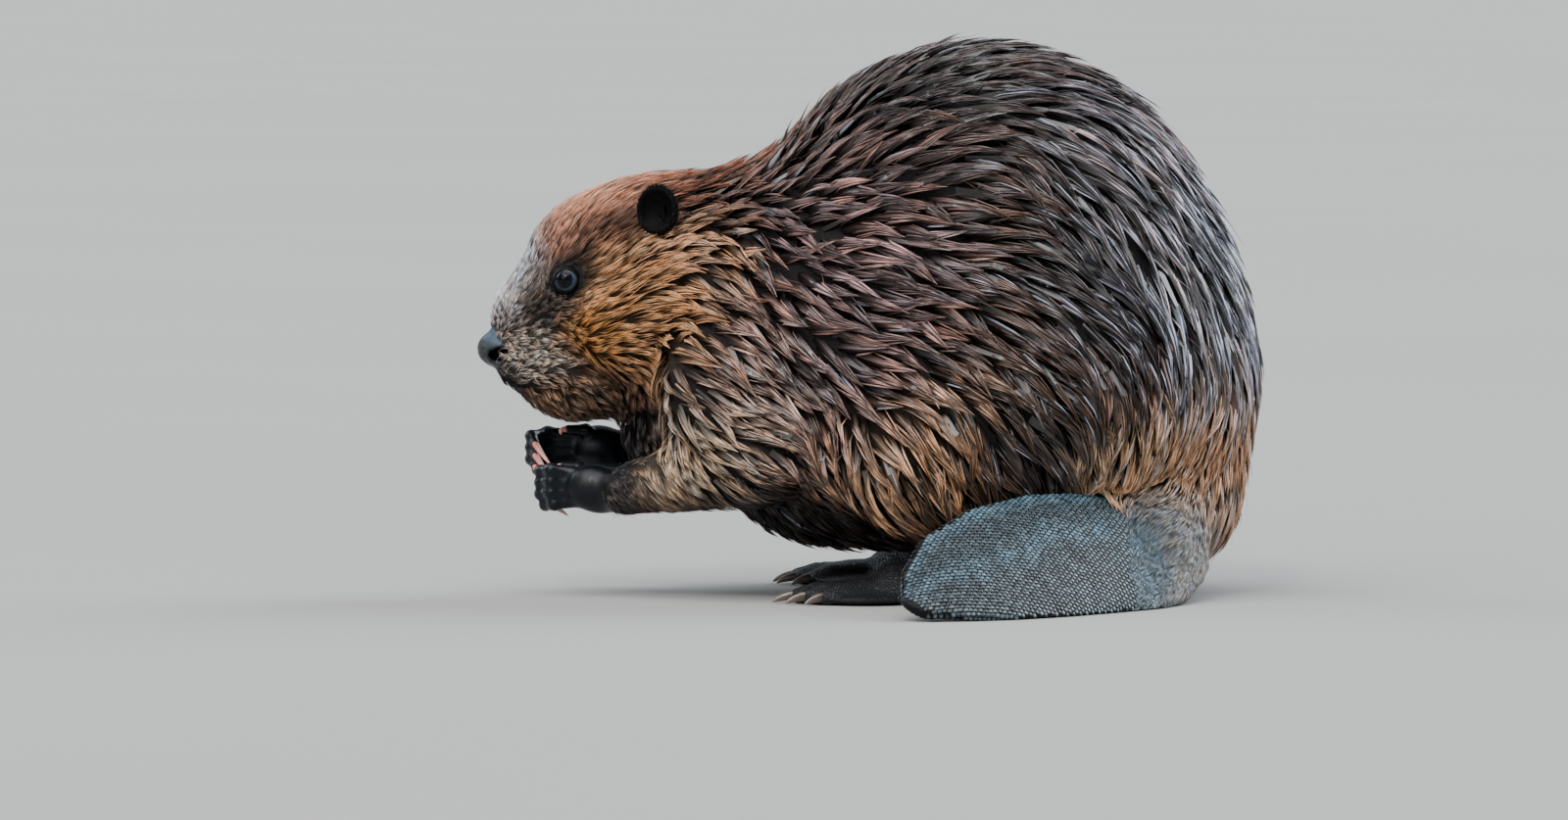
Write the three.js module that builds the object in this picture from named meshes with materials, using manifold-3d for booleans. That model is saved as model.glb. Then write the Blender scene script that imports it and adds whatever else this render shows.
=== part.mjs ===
// A North American beaver sitting up on its haunches, life size, as a still museum model.
// Millimetres, +Z up. The nose points along -X, the animal's left side faces -Y, and the soles rest on Z = 0.
// The outer surface is the outline of the coat, out to the tips of the fur. It is one smooth body, made by
// blending ellipsoids and tapered limbs, and it is parted with thin cuts into the pieces a person would name.
import * as THREE from "three";
import { mergeVertices } from "three/addons/utils/BufferGeometryUtils.js";
import Module from "manifold-3d";

const wasm = await Module();
wasm.setup();

// ---------------------------------------------------------------- driving dimensions
const GAP = 0.35; // clearance left by each parting cut
const CELL = { trunk: 35, neck: 27, haunch: 25, root: 20, arm: 18, head: 15 };
const FLOOR = 0;

// Ellipsoids of the coat's outline: at = centre, r = half sizes, tilt = turn about Y in degrees, k = width of the blend
// with what comes before it. two: the same again on the right side.
const HUMP = { at: [63, 0, 179], r: [142, 116, 141], k: 0 };
const RUMP = { at: [112, 0, 122], r: [113, 122, 116], k: 34 };
const BELLY = { at: [36, 0, 108], r: [92, 118, 84], k: 34 };
const SHOULDER = { at: [-26, 0, 143], r: [96, 92, 98], k: 44 };
const NECK = { at: [-84, 0, 178], r: [66, 66, 66], k: 35 };
const SKULL = { at: [-128, 0, 184], r: [55, 50, 58], k: 22 };
const CHEEK = { at: [-134, -24, 160], r: [38, 27, 38], k: 18, two: true };
const BROW = { at: [-160, 0, 187], r: [40, 28.5, 40], k: 18 };
const MUZZLE = { at: [-187, 0, 155], r: [32, 25, 34], k: 16 };
const LIP = { at: [-196, -11, 134.5], r: [21.5, 14, 18.5], k: 9, two: true };
const CHIN = { at: [-168, 0, 122.5], r: [34, 24, 25], k: 12 };
const CHEST = { at: [-106, 0, 104], r: [42, 44, 48], k: 20 };
const BREAST = { at: [-26, 0, 82], r: [64, 80, 52], k: 30 };
const HAUNCH = { at: [84, -78, 112], r: [76, 50, 84], k: 26, two: true };
const UPPER_ARM = { at: [-84, -60, 112], r: [42, 30, 52], tilt: -12, k: 22, two: true };

// Tapered limbs: from/to = ends, r0/r1 = radii there.
const THIGH = { from: [100, -78, 112], r0: 52, to: [22, -88, 84], r1: 43, k: 24, two: true };
const SHANK = { from: [25, -90, 72], r0: 34, to: [84, -80, 26], r1: 19, k: 14, two: true };
const FOREARM_LEFT = { from: [-62, -70, 80], r0: 29, to: [-142, -34, 61], r1: 15.5, k: 14 };
const FOREARM_RIGHT = { from: [-62, 70, 82], r0: 29, to: [-138, 34, 80], r1: 15.5, k: 14 };
const ROOT_UPPER = { from: [136, 0, 96], r0: 58, to: [162, -14, 58], r1: 46, k: 26 };
const ROOT_LOWER = { from: [162, -14, 58], r0: 46, to: [156, -88, 33], r1: 27, k: 14 };

const NOSE = { at: [-212, 0, 140], r: [14, 13.5, 11.5], tilt: 0, nostril: { at: [-216, -11, 139], r: [7, 4.5, 3.2] } };
const EYE = { at: [-173.6, -29.6, 180.3], r: 7.5 };
const EAR = { at: [-122, -48, 220], r: [13.4, 5.4, 14.6], yaw: 28, cup: { r: [10, 5, 11], out: 4.2 } };

// Forepaws: the wrist, the palm, and four fingers and a thumb that curl inward in front of the chest.
const PALM = { r: [17, 10.5, 13.5] };
const FINGER = { r: 4.1, tip: 3.3 };
const LEFT_HAND = { palm: [-159, -28, 62], side: -1, rows: [72, 65.5, 59, 52.5], reach: [-169, -183, -189, -186], across: [-27, -27, -20, -12.5], drop: 1.0 };
const RIGHT_HAND = { palm: [-157, 24, 82], side: 1, rows: [91, 84.5, 78, 71.5], reach: [-168, -186, -194.5, -194], across: [23, 20, 11, 3.5], drop: 1.5 };
const THUMB = { r: 3.4, length: 13 };
const FORE_CLAW = { length: 12.5, r: 1.9, curl: 0.55 };

// Hind feet: broad, webbed, five toes fanned about a line that points a little outward.
const FOOT = { heel: [94, -78, 9.8], ball: [14, -86, 9], heelR: 15, ballR: 13, aim: 9, fan: 11, toes: [47, 54, 57, 53, 47], toeR: 6.6, tipR: 4.9, web: { r: [28, 33, 4.4], ahead: 18 }, room: { at: [30, -84, 6], r: [102, 43, 17] } };
const HIND_CLAW = { length: 13, r: 2.9, curl: 0.25 };

// The flat tail: stations along its middle line, with half widths, half thicknesses and how far the upper face leans out.
const BLADE = {
  line: [[166, -66, 33], [158, -92, 29], [139, -124, 30.5], [110, -157, 30.5], [80, -190, 27.5], [52, -220, 20.5], [34, -240, 13], [24, -251, 8.5]],
  half: [29, 33, 41, 45.5, 45.5, 39, 26, 13],
  thick: [18, 11.5, 9.2, 8.2, 7.2, 6.2, 5.2, 4.2],
  lean: [56, 54, 50, 45, 39, 33, 28, 25],
};

// ---------------------------------------------------------------- distance fields
const V = (a) => new THREE.Vector3(...a);
const mirrored = (a) => [a[0], -a[1], a[2]];
const rad = THREE.MathUtils.degToRad;

const blend = (a, b, k) => {
  if (k <= 0) return Math.min(a, b);
  const h = Math.max(k - Math.abs(a - b), 0) / k;
  return Math.min(a, b) - h * h * k * 0.25;
};

function ellipsoid({ at, r, tilt = 0, yaw = 0 }) {
  const c = V(at), back = new THREE.Matrix4().makeRotationFromEuler(new THREE.Euler(0, rad(tilt), rad(yaw), "ZYX")).invert(), q = new THREE.Vector3();
  return (p) => {
    q.copy(p).sub(c).applyMatrix4(back);
    const a = Math.hypot(q.x / r[0], q.y / r[1], q.z / r[2]), b = Math.hypot(q.x / r[0] ** 2, q.y / r[1] ** 2, q.z / r[2] ** 2);
    return a < 1e-6 ? -Math.min(...r) : (a * (a - 1)) / b;
  };
}

function limb({ from, r0, to, r1 }) {
  const a = V(from), d = V(to).sub(a), l2 = d.lengthSq(), q = new THREE.Vector3();
  return (p) => {
    q.copy(p).sub(a);
    const t = THREE.MathUtils.clamp(q.dot(d) / l2, 0, 1);
    return q.addScaledVector(d, -t).length() - (r0 + (r1 - r0) * t);
  };
}

// Several shapes blended in order.
function blended(list) {
  const fields = list.flatMap((s) => {
    const make = s.from ? limb : ellipsoid;
    const one = [{ f: make(s), k: s.k }];
    if (!s.two) return one;
    const m = s.from ? { ...s, from: mirrored(s.from), to: mirrored(s.to) } : { ...s, at: mirrored(s.at), yaw: -(s.yaw || 0) };
    return [...one, { f: make(m), k: s.k }];
  });
  return (p) => fields.reduce((d, { f, k }) => (d === null ? f(p) : blend(d, f(p), k)), null);
}

const coat = blended([HUMP, RUMP, BELLY, SHOULDER, NECK, SKULL, CHEEK, BROW, MUZZLE, LIP, CHIN, CHEST, BREAST, HAUNCH, THIGH, SHANK, UPPER_ARM, FOREARM_LEFT, FOREARM_RIGHT, ROOT_UPPER, ROOT_LOWER]);

// A forepaw: the lines of its four fingers and its thumb, the outer finger the shortest.
function forepaw(h) {
  const digits = h.rows.map((z, i) => {
    const zc = h.palm[2] + (z - h.palm[2]) * 0.8;
    const line = [[h.reach[0], h.across[0], zc], [h.reach[1], h.across[1], z], [h.reach[2], h.across[2], z - h.drop], [h.reach[3], h.across[3], z - 2 * h.drop]];
    const share = i === 3 ? 0.86 : 1;
    return { line: line.map((p) => p.map((v, n) => line[0][n] + (v - line[0][n]) * share)), r: [FINGER.r, FINGER.r, FINGER.r * 0.93, FINGER.tip] };
  });
  const [x, y, z] = h.palm;
  digits.push({ line: [[x - 2, y - 2 * h.side, z + 8], [x - 7, y - 8 * h.side, z + 11], [x - 4 - THUMB.length, y - 12 * h.side, z + 11.5]], r: [THUMB.r, THUMB.r, THUMB.r * 0.8] });
  return digits;
}
const hands = { left: forepaw(LEFT_HAND), right: forepaw(RIGHT_HAND) };

// The five toes of a hind foot, fanned about its own line. side -1 is the left one.
const footSide = (p, side) => [p[0], p[1] * -side, p[2]];
function hindfoot(side) {
  const ball = V(FOOT.ball), aim = rad(FOOT.aim);
  return FOOT.toes.map((length, i) => {
    const a = aim - rad((2 - i) * FOOT.fan), d = V([-Math.cos(a), -Math.sin(a), 0]);
    const at = (share, z) => footSide(ball.clone().addScaledVector(d, length * share).setZ(z).toArray(), side);
    return { line: [at(-0.15, 6.5), at(0.5, 7.4), at(0.82, 6.6), at(1, 4.6)], r: [FOOT.toeR + 1, FOOT.toeR, FOOT.toeR * 0.9, FOOT.tipR] };
  });
}
const feet = { left: hindfoot(-1), right: hindfoot(1) };
const clawPlace = ({ line }) => ({ end: V(line.at(-1)), aim: V(line.at(-1)).sub(V(line.at(-2))).normalize() });

// The tail blade: at each point of its middle line a flat oval, leaning outward.
const bladeFrames = BLADE.line.map((p, i, all) => {
  const ahead = V(all[Math.min(i + 1, all.length - 1)]).sub(V(all[Math.max(i - 1, 0)])).normalize();
  const lean = rad(BLADE.lean[i]), up = new THREE.Vector3(0, 0, 1);
  const out = new THREE.Vector3().crossVectors(ahead, up).normalize().negate(); // away from the body
  const across = out.clone().multiplyScalar(Math.cos(lean)).addScaledVector(up, -Math.sin(lean));
  return { at: V(p), ahead, across, face: new THREE.Vector3().crossVectors(ahead, across).normalize() };
});
// ---------------------------------------------------------------- surfaces
// Turns a field into a closed mesh: one vertex in each cell that the surface crosses (one for each separate sheet of it there), moved onto the surface.
const EDGES = [[0, 1], [2, 3], [4, 5], [6, 7], [0, 2], [1, 3], [4, 6], [5, 7], [0, 4], [1, 5], [2, 6], [3, 7]];
const FACES = [[0, 1, 3, 2], [4, 5, 7, 6], [0, 1, 5, 4], [2, 3, 7, 6], [0, 2, 6, 4], [1, 3, 7, 5]];
const edgeOf = (a, b) => EDGES.findIndex(([i, j]) => (i === a && j === b) || (i === b && j === a));
const FACE_EDGES = FACES.map((f) => f.map((c, i) => edgeOf(c, f[(i + 1) % 4])));

function surface(field, low, high, cell) {
  const n = [0, 1, 2].map((i) => Math.ceil((high[i] - low[i]) / cell) + 2), o = low.map((v) => v - cell);
  const at = (i, j, k) => (i * n[1] + j) * n[2] + k;
  const value = new Float64Array(n[0] * n[1] * n[2]), p = new THREE.Vector3();
  for (let i = 0; i < n[0]; i++) for (let j = 0; j < n[1]; j++) for (let k = 0; k < n[2]; k++) {
    const edge = i === 0 || j === 0 || k === 0 || i === n[0] - 1 || j === n[1] - 1 || k === n[2] - 1;
    const f = field(p.set(o[0] + i * cell, o[1] + j * cell, o[2] + k * cell));
    value[at(i, j, k)] = edge ? Math.max(f, cell * 0.3) : f || 1e-6;
  }
  const points = [], cells = new Map(), grad = new THREE.Vector3();
  const corner = (i, j, k, c) => [i + (c & 1), j + ((c >> 1) & 1), k + (c >> 2)];
  for (let i = 0; i + 1 < n[0]; i++) for (let j = 0; j + 1 < n[1]; j++) for (let k = 0; k + 1 < n[2]; k++) {
    const v = [0, 1, 2, 3, 4, 5, 6, 7].map((c) => value[at(...corner(i, j, k, c))]);
    if (v.every((x) => x > 0) || v.every((x) => x <= 0)) continue;
    const link = EDGES.map((_, e) => e), root = (e) => (link[e] === e ? e : (link[e] = root(link[e])));
    FACES.forEach((f, fi) => {
      const cut = FACE_EDGES[fi].map((e, s) => v[f[s]] > 0 !== v[f[(s + 1) % 4]] > 0), on = FACE_EDGES[fi].filter((_, s) => cut[s]);
      if (on.length === 2) link[root(on[0])] = root(on[1]);
      if (on.length === 4) f.forEach((c, s) => { if (v[c] <= 0) link[root(FACE_EDGES[fi][s])] = root(FACE_EDGES[fi][(s + 3) % 4]); });
    });
    const made = new Map();
    EDGES.forEach(([a, b], e) => {
      if (v[a] > 0 === v[b] > 0) return;
      const t = v[a] / (v[a] - v[b]), A = corner(i, j, k, a), B = corner(i, j, k, b), r = root(e);
      if (!made.has(r)) made.set(r, { sum: [0, 0, 0], n: 0 });
      const m = made.get(r);
      m.n++;
      for (let x = 0; x < 3; x++) m.sum[x] += o[x] + cell * (A[x] + (B[x] - A[x]) * t);
    });
    const ids = new Map();
    for (const [r, m] of made) {
      p.set(...m.sum.map((x) => x / m.n));
      const centre = [i, j, k].map((x, s) => o[s] + (x + 0.5) * cell);
      for (let step = 0; step < 3; step++) {
        const f0 = field(p), h = cell * 0.05;
        grad.set(0, 0, 0);
        for (const axis of ["x", "y", "z"]) { p[axis] += h; grad[axis] = (field(p) - f0) / h; p[axis] -= h; }
        const g2 = Math.max(grad.lengthSq(), 0.05);
        p.addScaledVector(grad, THREE.MathUtils.clamp(-f0 / g2, -cell * 0.4, cell * 0.4));
      }
      p.set(...["x", "y", "z"].map((axis, s) => THREE.MathUtils.clamp(p[axis], centre[s] - cell * 0.62, centre[s] + cell * 0.62)));
      ids.set(r, points.length / 3);
      points.push(p.x, p.y, p.z);
    }
    cells.set(at(i, j, k), EDGES.map(([a, b], e) => (v[a] > 0 === v[b] > 0 ? -1 : ids.get(root(e)))));
  }
  const index = [], P = (q) => new THREE.Vector3().fromArray(points, q * 3);
  // The four cells round each grid edge, and the same edge's number within each of them.
  const around = [
    { d: [1, 0, 0], cells: [[0, 0, 0], [0, -1, 0], [0, -1, -1], [0, 0, -1]], e: [0, 1, 3, 2] },
    { d: [0, 1, 0], cells: [[0, 0, 0], [0, 0, -1], [-1, 0, -1], [-1, 0, 0]], e: [4, 6, 7, 5] },
    { d: [0, 0, 1], cells: [[0, 0, 0], [-1, 0, 0], [-1, -1, 0], [0, -1, 0]], e: [8, 9, 11, 10] },
  ];
  for (let i = 0; i + 1 < n[0]; i++) for (let j = 0; j + 1 < n[1]; j++) for (let k = 0; k + 1 < n[2]; k++) for (const { d, cells: cs, e } of around) {
    if ([i, j, k].some((x, s) => x === 0 && !d[s])) continue;
    const a = value[at(i, j, k)], b = value[at(i + d[0], j + d[1], k + d[2])];
    if (a > 0 === b > 0) continue;
    let q = cs.map(([x, y, z], s) => cells.get(at(i + x, j + y, k + z))[e[s]]);
    if (a <= 0) q = q.reverse();
    if (P(q[0]).distanceTo(P(q[2])) <= P(q[1]).distanceTo(P(q[3]))) index.push(q[0], q[2], q[1], q[0], q[3], q[2]);
    else index.push(q[0], q[3], q[1], q[1], q[3], q[2]);
  }
  return new THREE.BufferGeometry().setAttribute("position", new THREE.Float32BufferAttribute(points, 3)).setIndex(index);
}

// ---------------------------------------------------------------- solids
function solid(geometry, matrix) {
  const g = geometry.clone();
  g.deleteAttribute("normal");
  g.deleteAttribute("uv");
  if (matrix) g.applyMatrix4(matrix);
  const m = mergeVertices(g, 1e-4);
  return new wasm.Manifold(new wasm.Mesh({ numProp: 3, vertProperties: m.attributes.position.array, triVerts: new Uint32Array(m.index.array) }));
}
const largest = (s) => s.decompose().reduce((a, b) => (b.volume() > a.volume() ? b : a));
function geometryOf(s) {
  const m = s.getMesh(), v = new Float32Array(m.numVert * 3);
  for (let i = 0; i < m.numVert; i++) v.set(m.vertProperties.subarray(i * m.numProp, i * m.numProp + 3), i * 3);
  return new THREE.BufferGeometry().setAttribute("position", new THREE.BufferAttribute(v, 3)).setIndex(new THREE.BufferAttribute(m.triVerts, 1));
}
const placed = (at, turn = [0, 0, 0], scale = [1, 1, 1]) => new THREE.Matrix4().compose(V(at), new THREE.Quaternion().setFromEuler(new THREE.Euler(...turn.map(rad), "ZYX")), V(scale));
const block = (low, high) => solid(new THREE.BoxGeometry(...high.map((v, i) => v - low[i])), placed(low.map((v, i) => (v + high[i]) / 2)));
const egg = (at, r, grow = 0, turn = [0, 0, 0], detail = 20) => solid(new THREE.SphereGeometry(1, detail, Math.round(detail * 0.7)), placed(at, turn, r.map((v) => v + grow)));
// A round tube along a line of points, closed at both ends: radii = one at each point, sides = facets round it,
// flat = its height over its width, ends = how far each end bulges, in radii.
function tube(line, radii, sides, flat = 1, ends = [0.6, 0.7]) {
  const pts = line.map((p) => (Array.isArray(p) ? V(p) : p)), vert = [], idx = [];
  const ahead = pts.map((_, i) => pts[Math.min(i + 1, pts.length - 1)].clone().sub(pts[Math.max(i - 1, 0)]).normalize());
  const side = new THREE.Vector3().crossVectors(ahead[0], Math.abs(ahead[0].z) > 0.8 ? V([1, 0, 0]) : V([0, 0, 1])).normalize(), up = new THREE.Vector3();
  pts.forEach((p, i) => {
    side.addScaledVector(ahead[i], -side.dot(ahead[i])).normalize();
    up.crossVectors(side, ahead[i]);
    for (let j = 0; j < sides; j++) {
      const a = ((j + 0.5) / sides) * 2 * Math.PI, v = p.clone().addScaledVector(side, Math.cos(a) * radii[i]).addScaledVector(up, Math.sin(a) * radii[i] * flat);
      vert.push(v.x, v.y, v.z);
    }
  });
  const n = pts.length, A = n * sides, B = A + 1, a0 = pts[0].clone().addScaledVector(ahead[0], -radii[0] * ends[0]), b0 = pts[n - 1].clone().addScaledVector(ahead[n - 1], radii[n - 1] * ends[1]);
  vert.push(a0.x, a0.y, a0.z, b0.x, b0.y, b0.z);
  for (let i = 0; i < n; i++) for (let j = 0; j < sides; j++) {
    const a = i * sides + j, b = i * sides + ((j + 1) % sides);
    if (i === 0) idx.push(a, b, A);
    if (i + 1 < n) idx.push(a, b + sides, b, a, a + sides, b + sides);
    else idx.push(b, a, B);
  }
  const make = (order) => solid(new THREE.BufferGeometry().setAttribute("position", new THREE.Float32BufferAttribute(vert, 3)).setIndex(order));
  const first = make(idx);
  return first.volume() > 0 ? first : make(idx.slice().reverse());
}
// A claw: a short cone that curves towards `down` from the blunt end of a digit.
function claw({ end, aim }, c, down) {
  const bend = V(down).addScaledVector(aim, -aim.dot(V(down))).normalize(), rings = 4;
  const curve = new THREE.QuadraticBezierCurve3(end.clone().addScaledVector(aim, GAP), end.clone().addScaledVector(aim, c.length * 0.6), end.clone().addScaledVector(aim, c.length * (1 - c.curl * 0.35)).addScaledVector(bend, c.length * c.curl));
  const shares = [...Array(rings).keys()].map((i) => i / rings);
  return tube(shares.map((t) => curve.getPoint(t)), shares.map((t) => c.r * (1 - t) ** 0.6), 5, 0.9, [0, 1.4]);
}
const digit = ({ line, r }) => tube(line, r, 5, 1, [0.6, 0]);
const joined = (list) => list.reduce((a, b) => a.add(b));
// A thick block whose face passes through `at`, square to `normal`, holding everything on the normal's side.
function beyond(at, normal, grow = 0, size = 700) {
  const nrm = V(normal).normalize(), turn = new THREE.Quaternion().setFromUnitVectors(new THREE.Vector3(0, 0, 1), nrm);
  return solid(new THREE.BoxGeometry(size, size, size), new THREE.Matrix4().compose(V(at).addScaledVector(nrm, size / 2 - grow), turn, V([1, 1, 1])));
}
const ground = block([-400, -400, -60], [400, 400, FLOOR]);
const above = (s) => largest(s.subtract(ground));

// Where the body is parted.
const HEAD_CUT = { at: [-104, 0, 190], normal: [-0.955, 0, 0.297] };
const NECK_CUT = { at: [-72, 0, 190], normal: [-0.94, 0, 0.34] };
const ROOT_EGG = { at: [178, -34, 44], r: [62, 84, 60] };
const BLADE_CUT = { at: [157, -92, 32], normal: [-0.42, -0.9, 0] };
const WRIST = { left: { at: [-147.5, -31, 61], normal: [-1, 0.3, 0], stub: [-143, -33, 61] }, right: { at: [-144.5, 32, 80], normal: [-1, -0.3, 0], stub: [-140, 33, 80] } };

// Cutters for the limbs, each a closed shape a little larger than the limb; grow > 0 makes the matching hole.
const armCutter = (side, grow) => {
  const y = (p) => [p[0], p[1] * -side, p[2]], F = side < 0 ? FOREARM_LEFT : FOREARM_RIGHT;
  const shoulder = egg(y([-86, -78, 112]), [44, 34, 55], grow, [0, -12, 0], 12);
  const a = V(F.from), b = V(F.to), d = b.clone().sub(a), turn = new THREE.Quaternion().setFromUnitVectors(new THREE.Vector3(0, 1, 0), d.clone().normalize());
  const sleeve = solid(new THREE.CylinderGeometry(21 + grow, 34 + grow, d.length() + 34, 12), new THREE.Matrix4().compose(a.clone().addScaledVector(d, 0.5).addScaledVector(d.clone().normalize(), 12), turn, V([1, 1, 1])));
  return shoulder.add(sleeve);
};
const haunchCutter = (side, grow) => egg([62, -104 * -side, 92], [86, 50, 84], grow, [0, 10, 0], 12);
const footRoom = (side, grow) => egg(footSide(FOOT.room.at, side), FOOT.room.r, grow, [0, 0, 0], 12);

const ALL_HIGH = [240, 150, 336];
const patch = (low, high, cell, field = coat) => solid(surface(field, low, high, cell));
// The flat blade, an oval section swept along its line, and the same a little larger to cut the haunch behind it.
function bladeSolid(grow, sides = 12) {
  const vert = [], idx = [], n = bladeFrames.length;
  const oval = (v) => Math.sign(v) * Math.abs(v) ** 0.86;
  bladeFrames.forEach(({ at, across, face }, i) => {
    for (let j = 0; j < sides; j++) {
      const a = (j / sides) * 2 * Math.PI;
      const v = at.clone().addScaledVector(across, oval(Math.cos(a)) * (BLADE.half[i] + grow)).addScaledVector(face, oval(Math.sin(a)) * (BLADE.thick[i] + grow));
      vert.push(v.x, v.y, v.z);
    }
  });
  const first = bladeFrames[0].at, tip = bladeFrames[n - 1].at.clone().addScaledVector(bladeFrames[n - 1].ahead, BLADE.half[n - 1] * 0.45 + grow);
  vert.push(first.x, first.y, first.z, tip.x, tip.y, tip.z);
  for (let i = 0; i < n; i++) for (let j = 0; j < sides; j++) {
    const a = i * sides + j, b = i * sides + ((j + 1) % sides);
    if (i === 0) idx.push(b, a, n * sides);
    if (i + 1 < n) idx.push(a, b, b + sides, a, b + sides, a + sides);
    else idx.push(a, b, n * sides + 1);
  }
  const make = (order) => solid(new THREE.BufferGeometry().setAttribute("position", new THREE.Float32BufferAttribute(vert, 3)).setIndex(order));
  const one = make(idx);
  return one.volume() > 0 ? one : make(idx.slice().reverse());
}
const bladeHole = bladeSolid(0.6);

const parts = {};
const colours = {
  fur: [0x5a4130, 0.62], furHead: [0x7d5534, 0.6], bare: [0x17171a, 0.45], blade: [0x3b464c, 0.4], claw: [0xb98c80, 0.4], hindClaw: [0x3a332e, 0.4], eye: [0x0a0c12, 0.05],
};
const put = (name, s, colour) => (parts[name] = { solid: largest(s), colour });

// Trunk, neck and head share two slanting cuts.
const headSide = (grow) => beyond(HEAD_CUT.at, HEAD_CUT.normal, grow), neckSide = (grow) => beyond(NECK_CUT.at, NECK_CUT.normal, grow);
const limbHoles = [-1, 1].flatMap((s) => [armCutter(s, GAP), haunchCutter(s, GAP), footRoom(s, GAP)]);
const rootSide = (grow) => egg(ROOT_EGG.at, ROOT_EGG.r, grow, [0, 0, 0], 11), bladeSide = (grow) => beyond(BLADE_CUT.at, BLADE_CUT.normal, grow, 150);
const earShell = (side, grow) => egg(footSide(EAR.at, side), EAR.r, grow, [0, 0, EAR.yaw * side], 10);
const earOut = (side) => V([-Math.sin(rad(EAR.yaw)), side * Math.cos(rad(EAR.yaw)), 0.12]).multiplyScalar(EAR.cup.out);
const earCup = (side) => egg(V(footSide(EAR.at, side)).add(earOut(side)).toArray(), EAR.cup.r, 0, [0, 0, EAR.yaw * side], 10);
const noseEgg = (grow) => egg(NOSE.at, NOSE.r, grow, [0, NOSE.tilt, 0], 12);

let trunk = patch([-112, -160, -24], ALL_HIGH, CELL.trunk).subtract(neckSide(GAP)).subtract(rootSide(GAP)).subtract(bladeHole);
for (const hole of limbHoles) trunk = trunk.subtract(hole);
put("trunk", above(trunk), "fur");

let neck = patch([-190, -120, 40], [-20, 120, 290], CELL.neck).intersect(neckSide(0)).subtract(headSide(GAP));
for (const s of [-1, 1]) neck = neck.subtract(armCutter(s, GAP));
put("neck", neck, "furHead");

const EYES = [-1, 1].map((s) => [EYE.at[0], EYE.at[1] * -s, EYE.at[2]]);
let head = patch([-240, -80, 84], [-70, 80, 262], CELL.head).intersect(headSide(0)).subtract(noseEgg(GAP));
for (const s of [-1, 1]) head = head.subtract(armCutter(s, GAP)).subtract(earShell(s, GAP));
for (const e of EYES) head = head.subtract(egg(e, [EYE.r, EYE.r, EYE.r], GAP, [90, 0, 0], 10));
put("head", head, "furHead");
put("eye_left", egg(EYES[0], [EYE.r, EYE.r, EYE.r], 0, [90, 0, 0], 10), "eye");
put("eye_right", egg(EYES[1], [EYE.r, EYE.r, EYE.r], 0, [90, 0, 0], 10), "eye");

// The bare nose pad, with its two nostrils.
let nose = noseEgg(0);
for (const s of [-1, 1]) nose = nose.subtract(egg([NOSE.nostril.at[0], NOSE.nostril.at[1] * -s, NOSE.nostril.at[2]], NOSE.nostril.r, 0, [0, -20, s * -24], 7));
put("nose", nose, "bare");

for (const [name, s] of [["left", -1], ["right", 1]]) {
  put("ear_" + name, earShell(s, 0).subtract(earCup(s)), "bare");

  const near = s < 0;
  const armLow = [-172, near ? -118 : 8, 30], armHigh = [-20, near ? -8 : 118, 190], wrist = WRIST[name];
  let arm = patch(armLow, armHigh, CELL.arm).intersect(armCutter(s, 0)).subtract(beyond(wrist.at, wrist.normal, GAP, 60));
  put("foreleg_" + name, arm, "fur");

  const H = near ? LEFT_HAND : RIGHT_HAND, F = near ? FOREARM_LEFT : FOREARM_RIGHT;
  let paw = joined([tube([wrist.stub, H.palm], [F.r1 * 0.98, PALM.r[1] * 0.9], 8), egg(H.palm, PALM.r, 0, [0, 0, 0], 8), ...hands[name].map(digit)]).intersect(beyond(wrist.at, wrist.normal, 0, 120));

  let leg = patch([-40, near ? -170 : 24, -24], [170, near ? -24 : 170, 200], CELL.haunch).intersect(haunchCutter(s, 0)).subtract(footRoom(s, GAP));
  leg = leg.subtract(rootSide(GAP)).subtract(bladeHole);
  put("hindleg_" + name, above(leg), "fur");

  const web = V(FOOT.ball).add(V([-Math.cos(rad(FOOT.aim)), -Math.sin(rad(FOOT.aim)), 0]).multiplyScalar(FOOT.web.ahead)).setZ(3.4).toArray();
  let foot = joined([
    tube([footSide(FOOT.heel, s), footSide(FOOT.ball.map((v, i) => (v + FOOT.heel[i]) / 2), s), footSide(FOOT.ball, s)], [FOOT.heelR * 0.9, FOOT.heelR, FOOT.ballR * 1.5], 7, 0.75),
    egg(footSide(web, s), FOOT.web.r, 0, [0, 0, FOOT.aim * -s], 10),
    ...feet[name].map(digit),
  ]).intersect(footRoom(s, 0));

  const inward = near ? [0.75, 0.25, -0.7] : [0.85, -0.2, -0.9];
  hands[name].map(clawPlace).forEach((c, i) => {
    put("claw_fore_" + name + "_" + (i + 1), claw(c, FORE_CLAW, inward), "claw");
  });
  put("forepaw_" + name, paw, "bare");
  feet[name].map(clawPlace).forEach((c, i) => {
    put("claw_hind_" + name + "_" + (i + 1), above(claw(c, HIND_CLAW, [0, 0, -1])), "hindClaw");
  });
  put("hindfoot_" + name, above(foot), "bare");
}

// Tail: the furred root, and the flat scaly blade.
let root = patch([96, -140, -24], [256, 74, 126], CELL.root).intersect(rootSide(0)).subtract(bladeSide(GAP));
root = root.subtract(footRoom(-1, GAP)).subtract(footRoom(1, GAP));
put("tail_root", above(root), "fur");
let blade = bladeSolid(0).intersect(beyond(BLADE_CUT.at, BLADE_CUT.normal, 0)).subtract(footRoom(-1, GAP));
put("tail_blade", above(blade), "blade");

// ---------------------------------------------------------------- the model
const group = new THREE.Group();
group.name = "beaver";
for (const [name, { solid: s, colour }] of Object.entries(parts)) {
  const [hex, roughness] = colours[colour];
  const mesh = new THREE.Mesh(geometryOf(s), new THREE.MeshStandardMaterial({ color: hex, roughness, metalness: 0 }));
  mesh.name = name;
  group.add(mesh);
}
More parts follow.
